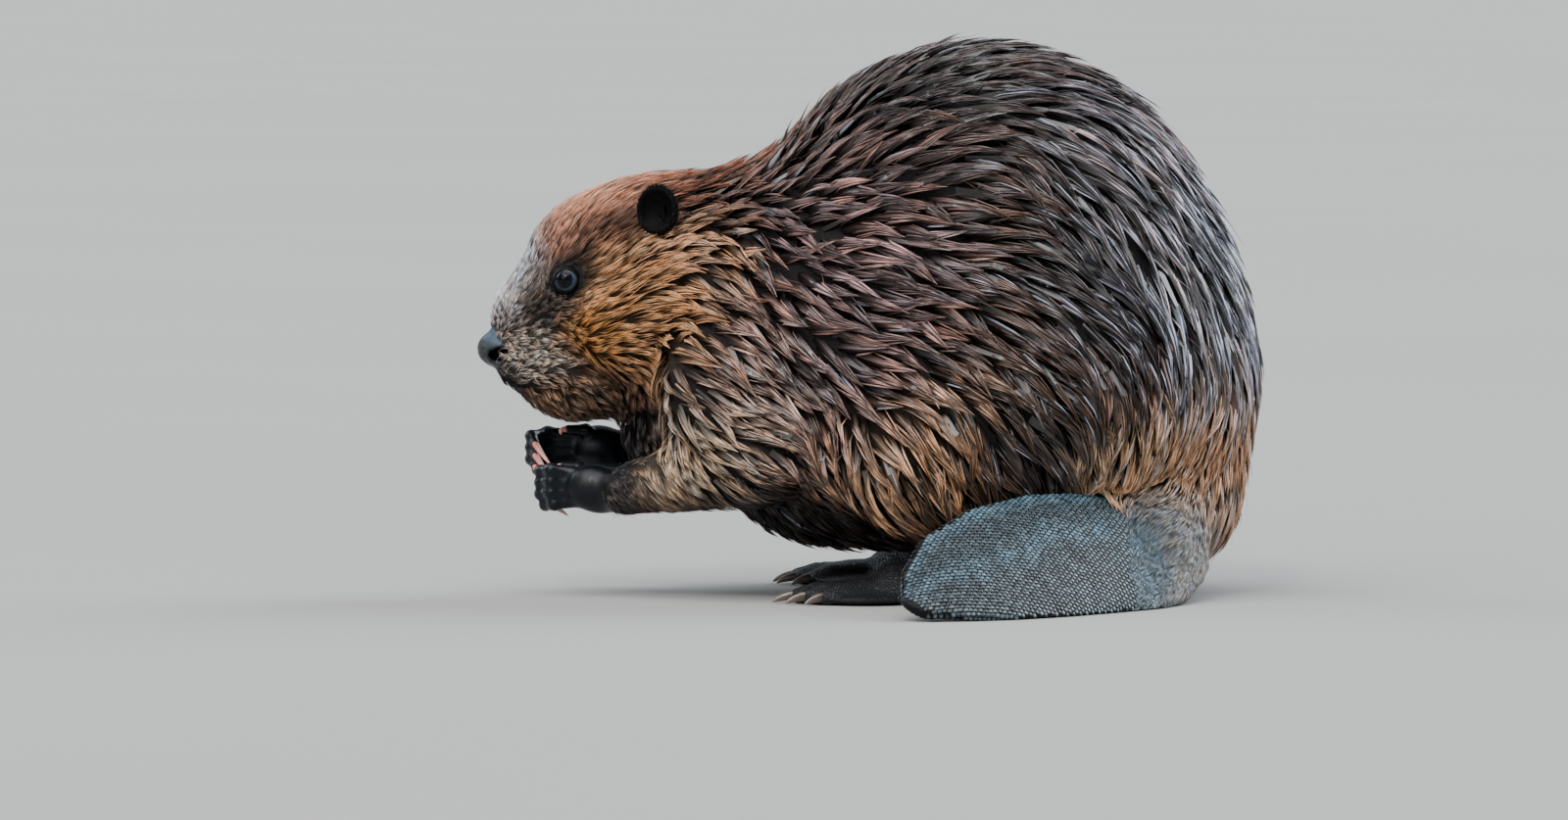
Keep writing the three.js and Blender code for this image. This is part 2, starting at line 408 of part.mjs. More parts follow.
// The origin is under the middle of the animal, on the floor.
const bounds = new THREE.Box3().setFromObject(group), middle = bounds.getCenter(new THREE.Vector3());
group.position.set(-middle.x, -middle.y, -FLOOR);
export default group;
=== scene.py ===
"""Looks of the sitting beaver: one skin inside the CAD outline, a coat of solid locks over it, tail scales, claws, eyes and whiskers.
Lengths here are millimetres in the animal's own frame, the one its CAD solids are drawn in: nose along -X, left side -Y, floor at Z = 0."""
import math

import bpy
import numpy as np
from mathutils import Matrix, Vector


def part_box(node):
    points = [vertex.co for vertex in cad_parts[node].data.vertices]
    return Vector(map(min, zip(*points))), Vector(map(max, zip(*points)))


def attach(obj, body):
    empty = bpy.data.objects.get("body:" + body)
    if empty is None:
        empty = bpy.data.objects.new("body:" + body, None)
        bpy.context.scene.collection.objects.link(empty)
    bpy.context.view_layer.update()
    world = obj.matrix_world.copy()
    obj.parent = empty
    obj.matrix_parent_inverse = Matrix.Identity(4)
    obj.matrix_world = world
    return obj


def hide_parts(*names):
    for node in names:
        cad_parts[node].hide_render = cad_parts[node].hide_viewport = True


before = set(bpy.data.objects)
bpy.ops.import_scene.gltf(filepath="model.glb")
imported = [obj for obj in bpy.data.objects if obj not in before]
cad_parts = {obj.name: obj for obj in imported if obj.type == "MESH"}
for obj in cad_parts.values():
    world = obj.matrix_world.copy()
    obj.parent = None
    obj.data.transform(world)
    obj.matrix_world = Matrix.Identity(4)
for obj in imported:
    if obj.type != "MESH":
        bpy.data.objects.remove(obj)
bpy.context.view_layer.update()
rng = np.random.default_rng(7)

# ------------------------------------------------------------------ the frame
EYE_AT = np.array([-173.6, -29.6, 180.3])
_lo, _hi = (np.array(v) * 1000 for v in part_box("eye_left"))
OFFSET = (_lo + _hi) / 2 - EYE_AT  # from the animal's own frame to the row frame


def row(p):
    return (np.asarray(p, float) + OFFSET) / 1000


# ------------------------------------------------------------------ the body as blended solids
# ell: name, centre, half sizes, turn about Y, blend, depth of the coat there, both sides
# cone: name, from, radius, to, radius, blend, depth of the coat at each end, both sides
E, C = "ell", "cone"
BODY = [
    (E, "hump", (63, 0, 179), (142, 116, 141), 0, 0, 12, 0),
    (E, "rump", (112, 0, 122), (113, 122, 116), 0, 34, 12, 0),
    (E, "belly", (36, 0, 108), (92, 118, 84), 0, 34, 11, 0),
    (E, "shoulder", (-26, 0, 143), (96, 92, 98), 0, 44, 11, 0),
    (E, "neck", (-84, 0, 178), (66, 66, 66), 0, 35, 9, 0),
    (E, "skull", (-128, 0, 184), (55, 50, 58), 0, 22, 5.5, 0),
    (E, "cheek", (-134, -24, 160), (38, 27, 38), 0, 18, 5.5, 1),
    (E, "brow", (-160, 0, 187), (40, 28.5, 40), 0, 18, 3, 0),
    (E, "muzzle", (-187, 0, 155), (32, 25, 34), 0, 16, 2, 0),
    (E, "lip", (-196, -11, 134.5), (21.5, 14, 18.5), 0, 9, 1.6, 1),
    (E, "chin", (-168, 0, 122.5), (34, 24, 25), 0, 12, 3.5, 0),
    (E, "chest", (-106, 0, 104), (42, 44, 48), 0, 20, 8, 0),
    (E, "breast", (-26, 0, 82), (64, 80, 52), 0, 30, 10, 0),
    (E, "haunch", (84, -78, 112), (76, 50, 84), 0, 26, 11, 1),
    (C, "thigh", (100, -78, 112), 52, (22, -88, 84), 43, 24, (11, 11), 1),
    (C, "shank", (25, -90, 72), 34, (84, -80, 26), 19, 14, (9, 4), 1),
    (E, "upper_arm", (-84, -60, 112), (42, 30, 52), -12, 22, 9, 1),
    (C, "forearm_left", (-62, -70, 80), 29, (-142, -34, 61), 15.5, 14, (8, 2.5), 0),
    (C, "forearm_right", (-62, 70, 82), 29, (-138, 34, 80), 15.5, 14, (8, 2.5), 0),
    (C, "root_upper", (136, 0, 96), 58, (162, -14, 58), 46, 26, (9, 7), 0),
    (C, "root_lower", (162, -14, 58), 46, (156, -88, 33), 27, 14, (6, 3), 0),
]


def turn_z(a):
    c, s = math.cos(a), math.sin(a)
    return np.array([[c, -s, 0], [s, c, 0], [0, 0, 1]])


def turn_y(a):
    c, s = math.cos(a), math.sin(a)
    return np.array([[c, 0, s], [0, 1, 0], [-s, 0, c]])


def ellipsoid(P, at, r, tilt=0.0, yaw=0.0):
    q = P - np.asarray(at, np.float32)
    if tilt or yaw:
        q = q @ (turn_z(math.radians(yaw)) @ turn_y(math.radians(tilt))).astype(np.float32)
    r = np.asarray(r, np.float32)
    a = np.sqrt(((q / r) ** 2).sum(-1))
    b = np.sqrt(((q / r**2) ** 2).sum(-1))
    return a * (a - 1) / np.maximum(b, 1e-6)


def cone(P, a, ra, b, rb):
    a, b = np.asarray(a, np.float32), np.asarray(b, np.float32)
    d = b - a
    q = P - a
    t = np.clip((q @ d) / (d @ d), 0, 1)
    return np.sqrt(((q - t[..., None] * d) ** 2).sum(-1)) - (ra + (rb - ra) * t)


def smin(a, b, k):
    if k <= 0:
        return np.minimum(a, b)
    h = np.maximum(k - np.abs(a - b), 0) / k
    return np.minimum(a, b) - h * h * k * 0.25


def smax(a, b, k):
    return -smin(-a, -b, k)


def flip(p):
    return (p[0], -p[1], p[2])


def body_parts(bare=True):
    """Each blended solid as (lowest corner, highest corner, function, blend), with the coat's depth taken off if bare."""
    out = []
    for e in BODY:
        for side in (0, 1) if e[-1] else (0,):
            if e[0] == E:
                _, _, at, r, tilt, k, coat, _ = e
                at = flip(at) if side else at
                r = np.array(r, float) - (coat if bare else 0)
                m = max(r) if tilt else r
                out.append((np.array(at) - m, np.array(at) + m, lambda P, at=at, r=r, tilt=tilt: ellipsoid(P, at, r, tilt), k))
            else:
                _, _, a, ra, b, rb, k, (ca, cb), _ = e
                a, b = (flip(a), flip(b)) if side else (a, b)
                ra, rb = (ra - ca, rb - cb) if bare else (ra, rb)
                lo = np.minimum(np.array(a) - ra, np.array(b) - rb)
                hi = np.maximum(np.array(a) + ra, np.array(b) + rb)
                out.append((lo, hi, lambda P, a=a, ra=ra, b=b, rb=rb: cone(P, a, ra, b, rb), k))
    return out


PARTS = {True: body_parts(True), False: body_parts(False)}

# Forepaws, as in the CAD: palm, then for each finger its height, and how far it reaches and crosses at its four joints.
LEFT_HAND = dict(palm=(-159, -28, 62), side=-1, rows=(72, 65.5, 59, 52.5), reach=(-169, -183, -189, -186), across=(-27, -27, -20, -12.5), sink=(0, 0, 1, 2))
RIGHT_HAND = dict(palm=(-157, 24, 82), side=1, rows=(91, 84.5, 78, 71.5), reach=(-168, -186, -195, -192.5), across=(23, 20, 10, 4), sink=(0, 0, 1.5, 5.5))
PALM_R = (17, 10.5, 13.5)
FINGER_R = (4.1, 4.1, 3.8, 3.3)
WRISTS = (((-143, -33, 61), 14.5), ((-140, 33, 80), 14.5))


def fingers(h):
    out = []
    for i, z in enumerate(h["rows"]):
        zc = h["palm"][2] + (z - h["palm"][2]) * 0.8
        line = np.array([(h["reach"][j], h["across"][j], (zc if j == 0 else z) - h["sink"][j]) for j in range(4)], float)
        if i == 3:
            line = line[0] + (line - line[0]) * 0.86
        out.append((line, FINGER_R))
    x, y, z = h["palm"]
    s = h["side"]
    out.append((np.array([(x - 2, y - 2 * s, z + 8), (x - 7, y - 8 * s, z + 11), (x - 17, y - 12 * s, z + 11.5)], float), (3.4, 3.4, 2.8)))
    return out


HANDS = [(LEFT_HAND, fingers(LEFT_HAND), WRISTS[0]), (RIGHT_HAND, fingers(RIGHT_HAND), WRISTS[1])]

FOOT = dict(heel=(94, -78, 9.8), ball=(14, -86, 9), heel_r=15, ball_r=13, aim=9, fan=11, toes=(47, 54, 57, 53, 47), toe_r=6.6, tip_r=4.9)


def toes(side):
    ball, aim, out = np.array(FOOT["ball"], float), math.radians(FOOT["aim"]), []
    for i, length in enumerate(FOOT["toes"]):
        a = aim - math.radians((2 - i) * FOOT["fan"])
        d = np.array([-math.cos(a), -math.sin(a), 0])
        line = []
        for share, z in ((-0.15, 6.5), (0.5, 7.4), (0.82, 6.6), (1, 4.6)):
            p = ball + d * length * share
            line.append((p[0], p[1] * -side, z))
        out.append((np.array(line), (FOOT["toe_r"] + 1, FOOT["toe_r"], FOOT["toe_r"] * 0.9, FOOT["tip_r"])))
    return out


FEET = {-1: toes(-1), 1: toes(1)}

BLADE_LINE = np.array([[166, -66, 33], [158, -92, 29], [139, -124, 30.5], [110, -157, 30.5], [80, -190, 27.5], [52, -220, 20.5], [34, -240, 13], [24, -251, 8.5]], float)
BLADE_HALF = np.array([29, 33, 41, 45.5, 45.5, 39, 26, 13.0])
BLADE_THICK = np.array([18, 11.5, 9.2, 8.2, 7.2, 6.2, 5.2, 4.2])
BLADE_LEAN = np.radians([56, 54, 50, 45, 39, 33, 28, 25.0])


def unit(v):
    v = np.asarray(v, float)
    return v / np.maximum(np.linalg.norm(v, axis=-1, keepdims=True), 1e-9)


_ahead = unit(np.array([BLADE_LINE[min(i + 1, 7)] - BLADE_LINE[max(i - 1, 0)] for i in range(8)]))
_out = -unit(np.cross(_ahead, [0, 0, 1.0]))
_across = _out * np.cos(BLADE_LEAN)[:, None] - np.array([0, 0, 1.0]) * np.sin(BLADE_LEAN)[:, None]
_face = unit(np.cross(_ahead, _across))


def blade(P):
    """The flat tail: an oval section swept along its line, each section square to the way ahead there."""
    best = np.full(P.shape[:-1], 1e3, np.float32)
    for i in range(7):
        a, d = BLADE_LINE[i], BLADE_LINE[i + 1] - BLADE_LINE[i]
        ah, turn = _ahead[i], _ahead[i + 1] - _ahead[i]
        q0 = P - a
        c0, c1, c2 = q0 @ ah, q0 @ turn - d @ ah, -(d @ turn)
        t = np.clip((q0 @ d) / (d @ d), -0.5, 1.5)
        for _ in range(3):
            t = np.clip(t - (c0 + c1 * t + c2 * t * t) / np.minimum(c1 + 2 * c2 * t, -0.2 * np.linalg.norm(d)), -0.6, 1.6)
        t = np.clip(t, 0, 1)
        q = q0 - t[..., None] * d
        x = (q @ _across[i]) * (1 - t) + (q @ _across[i + 1]) * t
        f = (q @ _face[i]) * (1 - t) + (q @ _face[i + 1]) * t
        s = (q @ _ahead[i]) * (1 - t) + (q @ _ahead[i + 1]) * t
        w = BLADE_HALF[i] + (BLADE_HALF[i + 1] - BLADE_HALF[i]) * t
        h = BLADE_THICK[i] + (BLADE_THICK[i + 1] - BLADE_THICK[i]) * t
        e = np.where((i == 6) & (t >= 1), 7.0, np.where((i == 0) & (t <= 0), 14.0, 1.2 + 0 * t))
        v = (np.abs(x / w) ** 2.2 + np.abs(f / h) ** 2.2 + np.abs(s / e) ** 2.2) ** (1 / 2.2)
        best = np.minimum(best, (v - 1) * h)
    return best


NOSE = dict(at=(-212, 0, 140), r=(13.6, 13.2, 11.2))
EYE_R = 7.5
EYE_OUT = 0.9  # the eyeballs stand this much further out than in the CAD solids
EAR = dict(at=(-122, -48, 220), r=(13.0, 4.6, 14.2), yaw=28)
EYES = [np.array([EYE_AT[0], s * (29.6 + EYE_OUT), EYE_AT[2]]) for s in (-1, 1)]


def within(P, lo, hi, pad):
    return np.all((P > np.asarray(lo) - pad) & (P < np.asarray(hi) + pad), -1)


def furred(P, bare=True):
    """Distance to the furred body at loose points: to the skin, or with bare=False to the outline of the coat."""
    d = np.full(len(P), 1e3, np.float32)
    for lo, hi, f, k in PARTS[bare]:
        m = within(P, lo, hi, 40 + k)
        if m.any():
            d[m] = smin(d[m], f(P[m]).astype(np.float32), k)
    return d


def ear_shell(P, side):
    at = (EAR["at"][0], EAR["at"][1] * -side, EAR["at"][2])
    return ellipsoid(P, at, EAR["r"], 0, EAR["yaw"] * side)


def ear_hollow(P, side):
    at = np.array((EAR["at"][0], EAR["at"][1] * -side, EAR["at"][2]), float)
    yaw = math.radians(EAR["yaw"])
    at = at + np.array([-math.sin(yaw), side * math.cos(yaw), 0.12]) * 4.2
    return ellipsoid(P, at, (10.9, 7.2, 12.0), 0, EAR["yaw"] * side)


def add(d, P, lo, hi, f, k, pad=14):
    m = within(P, lo, hi, pad)
    if m.any():
        d[m] = smin(d[m], f(P[m]).astype(np.float32), k)
    return d


def cut(d, P, lo, hi, f, k, pad=10):
    m = within(P, lo, hi, pad)
    if m.any():
        d[m] = smax(d[m], -f(P[m]).astype(np.float32), k)
    return d


def hand_field(P, h, digits, wrist):
    (w, wr) = wrist
    d = cone(P, w, wr - 4.5, h["palm"], 10)
    d = smin(d, ellipsoid(P, h["palm"], np.array(PALM_R) - 0.6), 6)
    heel = (h["palm"][0] + 6, h["palm"][1] - 2 * h["side"], h["palm"][2] - 8)
    d = smin(d, ellipsoid(P, heel, (10, 7.5, 6.5)), 4)
    for n_, (line, r) in enumerate(digits):
        f = None
        slim = (0.93, 0.84, 0.80, 0.78) if n_ < 4 else (0.95, 0.95, 0.9)
        for j in range(len(line) - 1):
            g = cone(P, line[j], r[j] * slim[j], line[j + 1], r[j + 1] * slim[j + 1])
            f = g if f is None else smin(f, g, 0.8)
            if j:  # knuckles
                f = smin(f, np.linalg.norm(P - line[j], axis=-1) - r[j] * 0.9, 2.2)
        d = smin(d, f, 2.0)
    return d


def foot_field(P, side):
    y = lambda p: (p[0], p[1] * -side, p[2])
    d = cone(P, y(FOOT["heel"]), FOOT["heel_r"] - 1, y(FOOT["ball"]), FOOT["ball_r"])
    d = smin(d, ellipsoid(P, y((FOOT["ball"][0] + 22, FOOT["ball"][1], 8)), (40, 23, 12)), 10)
    aim = math.radians(FOOT["aim"])
    web = (FOOT["ball"][0] - 20 * math.cos(aim), FOOT["ball"][1] - 20 * math.sin(aim), 3.0)
    d = smin(d, ellipsoid(P, y(web), (32, 33, 4.0)), 6)
    for line, r in FEET[side]:
        f = None
        for j in range(3):
            g = cone(P, line[j], r[j] * 0.92, line[j + 1], r[j + 1] * 0.92)
            f = g if f is None else smin(f, g, 1.5)
        d = smin(d, f, 3.5)
    return d


def bare_parts(P):
    """Distance to the nearest bare part: forepaws, hind feet, tail blade and nose pad."""
    d = np.full(len(P), 1e3, np.float32)
    for h, digits, wrist in HANDS:
        c = np.array(h["palm"], float)
        d = add(d, P, c - (42, 34, 30), c + (20, 34, 30), lambda Q, h=h, g=digits, w=wrist: hand_field(Q, h, g, w), 0)
    for side in (-1, 1):
        lo, hi = ((-60, -140, -5), (112, -40, 34)) if side < 0 else ((-60, 40, -5), (112, 140, 34))
        d = add(d, P, lo, hi, lambda Q, s=side: foot_field(Q, s), 0)
    d = add(d, P, (-5, -275, -10), (205, -38, 80), blade, 0)
    d = add(d, P, (-228, -16, 126), (-190, 16, 154), lambda Q: ellipsoid(Q, NOSE["at"], NOSE["r"]), 0)
    return d


def skin_field(P):
    P = np.asarray(P, np.float32)
    d = furred(P)
    d = add(d, P, (-228, -16, 126), (-190, 16, 154), lambda Q: ellipsoid(Q, NOSE["at"], NOSE["r"]), 5)
    for s in (-1, 1):  # wings of the nose
        at = (-210.5, s * 8.2, 138.5)
        d = add(d, P, np.array(at) - 9, np.array(at) + 9, lambda Q, at=at: ellipsoid(Q, at, (9, 6.6, 8.6)), 3)
    for s in (-1, 1):  # the mound that holds the eye
        at = (EYE_AT[0] + 1.0, s * 24.0, EYE_AT[2] + 0.5)
        d = add(d, P, np.array(at) - 14, np.array(at) + 14, lambda Q, at=at: ellipsoid(Q, at, (12.4, 10.2, 11.9)), 7)
    for h, digits, wrist in HANDS:
        c = np.array(h["palm"], float)
        m = within(P, c - (42, 34, 30), c + (22, 34, 30), 8)
        if m.any():
            g = hand_field(P[m], h, digits, wrist).astype(np.float32)
            near = np.linalg.norm(P[m] - np.array(wrist[0]), axis=-1) < 34
            d[m] = np.where(near, smin(d[m], g, 5), np.minimum(d[m], g))
    for side in (-1, 1):
        lo, hi = ((-60, -140, -5), (112, -40, 34)) if side < 0 else ((-60, 40, -5), (112, 140, 34))
        d = add(d, P, lo, hi, lambda Q, s=side: foot_field(Q, s), 8)
    d = add(d, P, (-5, -275, -10), (205, -38, 80), blade, 7)
    for s in (-1, 1):
        at = np.array((EAR["at"][0], EAR["at"][1] * -s, EAR["at"][2]), float)
        d = add(d, P, at - 18, at + 18, lambda Q, s=s: ear_shell(Q, s), 3)
        d = cut(d, P, at - 18, at + 18, lambda Q, s=s: ear_hollow(Q, s), 1.2)
    for eye in EYES:  # the sockets
        d = cut(d, P, eye - 9, eye + 9, lambda Q, e=eye: np.linalg.norm(Q - e, axis=-1) - (EYE_R + 0.12), 0.4)
    for s in (-1, 1):  # nostrils: commas that open forwards and to the side
        for at, r in (((-215.0, s * 11.8, 136.8), 3.8), ((-211.2, s * 13.4, 137.6), 4.8), ((-207.6, s * 14.2, 140.2), 3.4), ((-205.4, s * 14.0, 143.2), 2.1)):
            d = cut(d, P, np.array(at) - 6, np.array(at) + 6, lambda Q, at=at, r=r: ellipsoid(Q, at, (r, r * 1.9, r * 0.85)), 1.0)
    # the cleft below the nose, and the line of the closed mouth
    d = cut(d, P, (-230, -1, 108), (-196, 1, 132), lambda Q: np.maximum(np.abs(Q[:, 1]) - 0.7, np.abs(Q[:, 2] - 120) - 12), 2.2)
    for s in (-1, 1):
        pts = [(-213, 0, 119.5), (-208, s * 14, 118), (-196, s * 22, 119.5), (-180, s * 26, 124)]
        for a, b in zip(pts, pts[1:]):
            lo, hi = np.minimum(a, b), np.maximum(a, b)
            d = cut(d, P, lo, hi, lambda Q, a=a, b=b: cone(Q, a, 0.8, b, 0.8), 1.6)
    return smax(d, -(P[:, 2] - 0.05), 0.5)


# ------------------------------------------------------------------ the skin's mesh
def spacing(*spans):
    """Grid lines: each span is (start, end, step)."""
    out = [spans[0][0]]
    for _, end, step in spans:
        n = max(1, round((end - out[-1]) / step))
        out.extend(np.linspace(out[-1], end, n + 1)[1:])
    return np.array(out, np.float32)


F = 1.0
XS = spacing((-231, -194, 1.2 * F), (-194, -106, 1.5 * F), (-106, -68, 3 * F), (-68, -20, 3.8 * F), (-20, 231, 7.5 * F))
YS = spacing((-268, -132, 3.6 * F), (-132, -58, 2.6 * F), (-58, 58, 1.5 * F), (58, 130, 2.6 * F), (130, 142, 4 * F))
ZS = spacing((-3, 102, 1.7 * F), (102, 152, 1.6 * F), (152, 240, 2.0 * F), (240, 324, 5.5 * F))


def surface_net():
    """One closed mesh of the skin: a vertex in each cell that the surface crosses, moved onto it."""
    shape = (len(XS), len(YS), len(ZS))
    near = np.full(shape, 1e3, np.float32)

    def block(lo, hi, pad):
        i = [slice(*np.searchsorted(ax, (l - pad, h + pad))) for ax, l, h in zip((XS, YS, ZS), lo, hi)]
        g = np.stack(np.meshgrid(XS[i[0]], YS[i[1]], ZS[i[2]], indexing="ij"), -1)
        return tuple(i), g

    for lo, hi, f, k in PARTS[True]:
        i, g = block(lo, hi, k + 6)
        near[i] = smin(near[i], f(g).astype(np.float32), k)
    # The rest is only worked out where it can matter.
    boxes = [((-232, -40, 100), (-150, 40, 216))]
    boxes += [(np.array(h["palm"]) - (46, 36, 32), np.array(h["palm"]) + (26, 36, 32)) for h, _, _ in HANDS]
    boxes += [((-66, -146, -4), (118, -36, 38)), ((-66, 36, -4), (118, 146, 38)), ((-10, -280, -12), (210, -34, 84))]
    boxes += [((-142, -70, 200), (-102, -30, 240)), ((-142, 30, 200), (-102, 70, 240))]
    for lo, hi in boxes:
        i, g = block(lo, hi, 0)
        near[i] = skin_field(g.reshape(-1, 3)).reshape(g.shape[:-1])
    near = np.maximum(near, -(ZS[None, None, :] - 0.05))
    near[near == 0] = 1e-5
    s = near < 0
    n8 = np.zeros(tuple(n - 1 for n in shape), np.uint8)
    for a in (0, 1):
        for b in (0, 1):
            for c in (0, 1):
                n8 += s[a : shape[0] - 1 + a, b : shape[1] - 1 + b, c : shape[2] - 1 + c]
    mixed = (n8 > 0) & (n8 < 8)
    ids = np.full(mixed.shape, -1, np.int64)
    ids[mixed] = np.arange(mixed.sum())
    I, J, K = np.nonzero(mixed)
    acc, cnt = np.zeros((len(I), 3)), np.zeros(len(I))
    corners = [(a, b, c) for a in (0, 1) for b in (0, 1) for c in (0, 1)]
    for u in corners:
        for w in corners:
            if sum(w) - sum(u) == 1 and all(y >= x for x, y in zip(u, w)):
                va, vb = near[I + u[0], J + u[1], K + u[2]], near[I + w[0], J + w[1], K + w[2]]
                m = (va < 0) != (vb < 0)
                t = np.where(m, va / np.where(m, va - vb, 1), 0)
                pa = np.stack([XS[I + u[0]], YS[J + u[1]], ZS[K + u[2]]], 1)
                pb = np.stack([XS[I + w[0]], YS[J + w[1]], ZS[K + w[2]]], 1)
                acc += np.where(m[:, None], pa + (pb - pa) * t[:, None], 0)
                cnt += m
    verts = acc / cnt[:, None]
    quads = []
    for axis in range(3):
        a, b = [(1, 2), (2, 0), (0, 1)][axis]
        sl = [slice(1, -1)] * 3
        s0, s1 = list(sl), list(sl)
        s0[axis], s1[axis] = slice(0, -1), slice(1, None)
        A, B = s[tuple(s0)], s[tuple(s1)]
        e = np.array(np.nonzero(A != B))
        inside = A[tuple(e)]
        off = np.ones((3, 1), int)
        off[axis] = 0
        e = e + off
        q = []
        for da, db in ((-1, -1), (0, -1), (0, 0), (-1, 0)):
            w = e.copy()
            w[a] += da
            w[b] += db
            q.append(ids[tuple(w)])
        q = np.stack(q, 1)
        q[~inside] = q[~inside][:, ::-1]
        quads.append(q)
    quads = np.concatenate(quads)
    cell = np.stack([XS[I + 1] - XS[I], YS[J + 1] - YS[J], ZS[K + 1] - ZS[K]], 1)
    low = np.stack([XS[I], YS[J], ZS[K]], 1)
    for _ in range(3):
        verts, _n = onto(verts, skin_field)
        verts = np.clip(verts, low - cell * 0.25, low + cell * 1.25)
    return verts, quads


def gradient(P, f, h=0.25):
    d0 = f(P)
    g = np.stack([f(P + np.array(v) * h) - d0 for v in ((1, 0, 0), (0, 1, 0), (0, 0, 1))], -1) / h
    return d0, g


def onto(P, f, level=0.0):
    """Points moved onto the surface where f = level, and the outward directions there."""
    d, g = gradient(P, f)
    g2 = np.maximum((g**2).sum(-1), 0.05)
    step = np.clip((level - d) / g2, -6, 6)
    return P + g * step[:, None], unit(g)


skin_v, skin_q = surface_net()


# ------------------------------------------------------------------ what each spot of the skin is
def parts_of(P):
    """Distances to the bare parts, so that each spot of skin can be told from the next."""
    far = np.full(len(P), 1e3, np.float32)
    hand, foot, tail = far.copy(), far.copy(), far.copy()
    for h, digits, wrist in HANDS:
        c = np.array(h["palm"], float)
        hand = add(hand, P, c - (42, 34, 30), c + (12, 34, 30), lambda Q, h=h, g=digits, w=wrist: hand_field(Q, h, g, w), 0)
    for side in (-1, 1):
        lo, hi = ((-60, -140, -5), (112, -40, 34)) if side < 0 else ((-60, 40, -5), (112, 140, 34))
        foot = add(foot, P, lo, hi, lambda Q, s=side: foot_field(Q, s), 0)
    tail = add(tail, P, (-5, -275, -10), (205, -38, 80), blade, 0)
    nose = ellipsoid(P, NOSE["at"], NOSE["r"])
    ear = np.minimum(ear_shell(P, -1), ear_shell(P, 1))
    eye = np.minimum(*(np.linalg.norm(P - e, axis=1) for e in EYES))
    return dict(hand=hand, foot=foot, tail=tail, nose=nose, ear=ear, eye=eye)


def step(lo, hi, v):
    t = np.clip((v - lo) / (hi - lo), 0, 1)
    return t * t * (3 - 2 * t)


def blob(P, at, r, soft=0.35, both=True):
    """1 inside a soft-edged ellipsoid, 0 outside. It lies on both sides of the animal unless both is off."""
    q = P.copy()
    if both:
        q[:, 1] = -np.abs(q[:, 1])
    d = np.linalg.norm((q - np.array(at)) / np.array(r), axis=1)
    return 1 - step(1 - soft, 1 + soft, d)


def srgb(r, g, b):
    c = np.array([r, g, b], float) / 255
    return np.where(c <= 0.04045, c / 12.92, ((c + 0.055) / 1.055) ** 2.4)


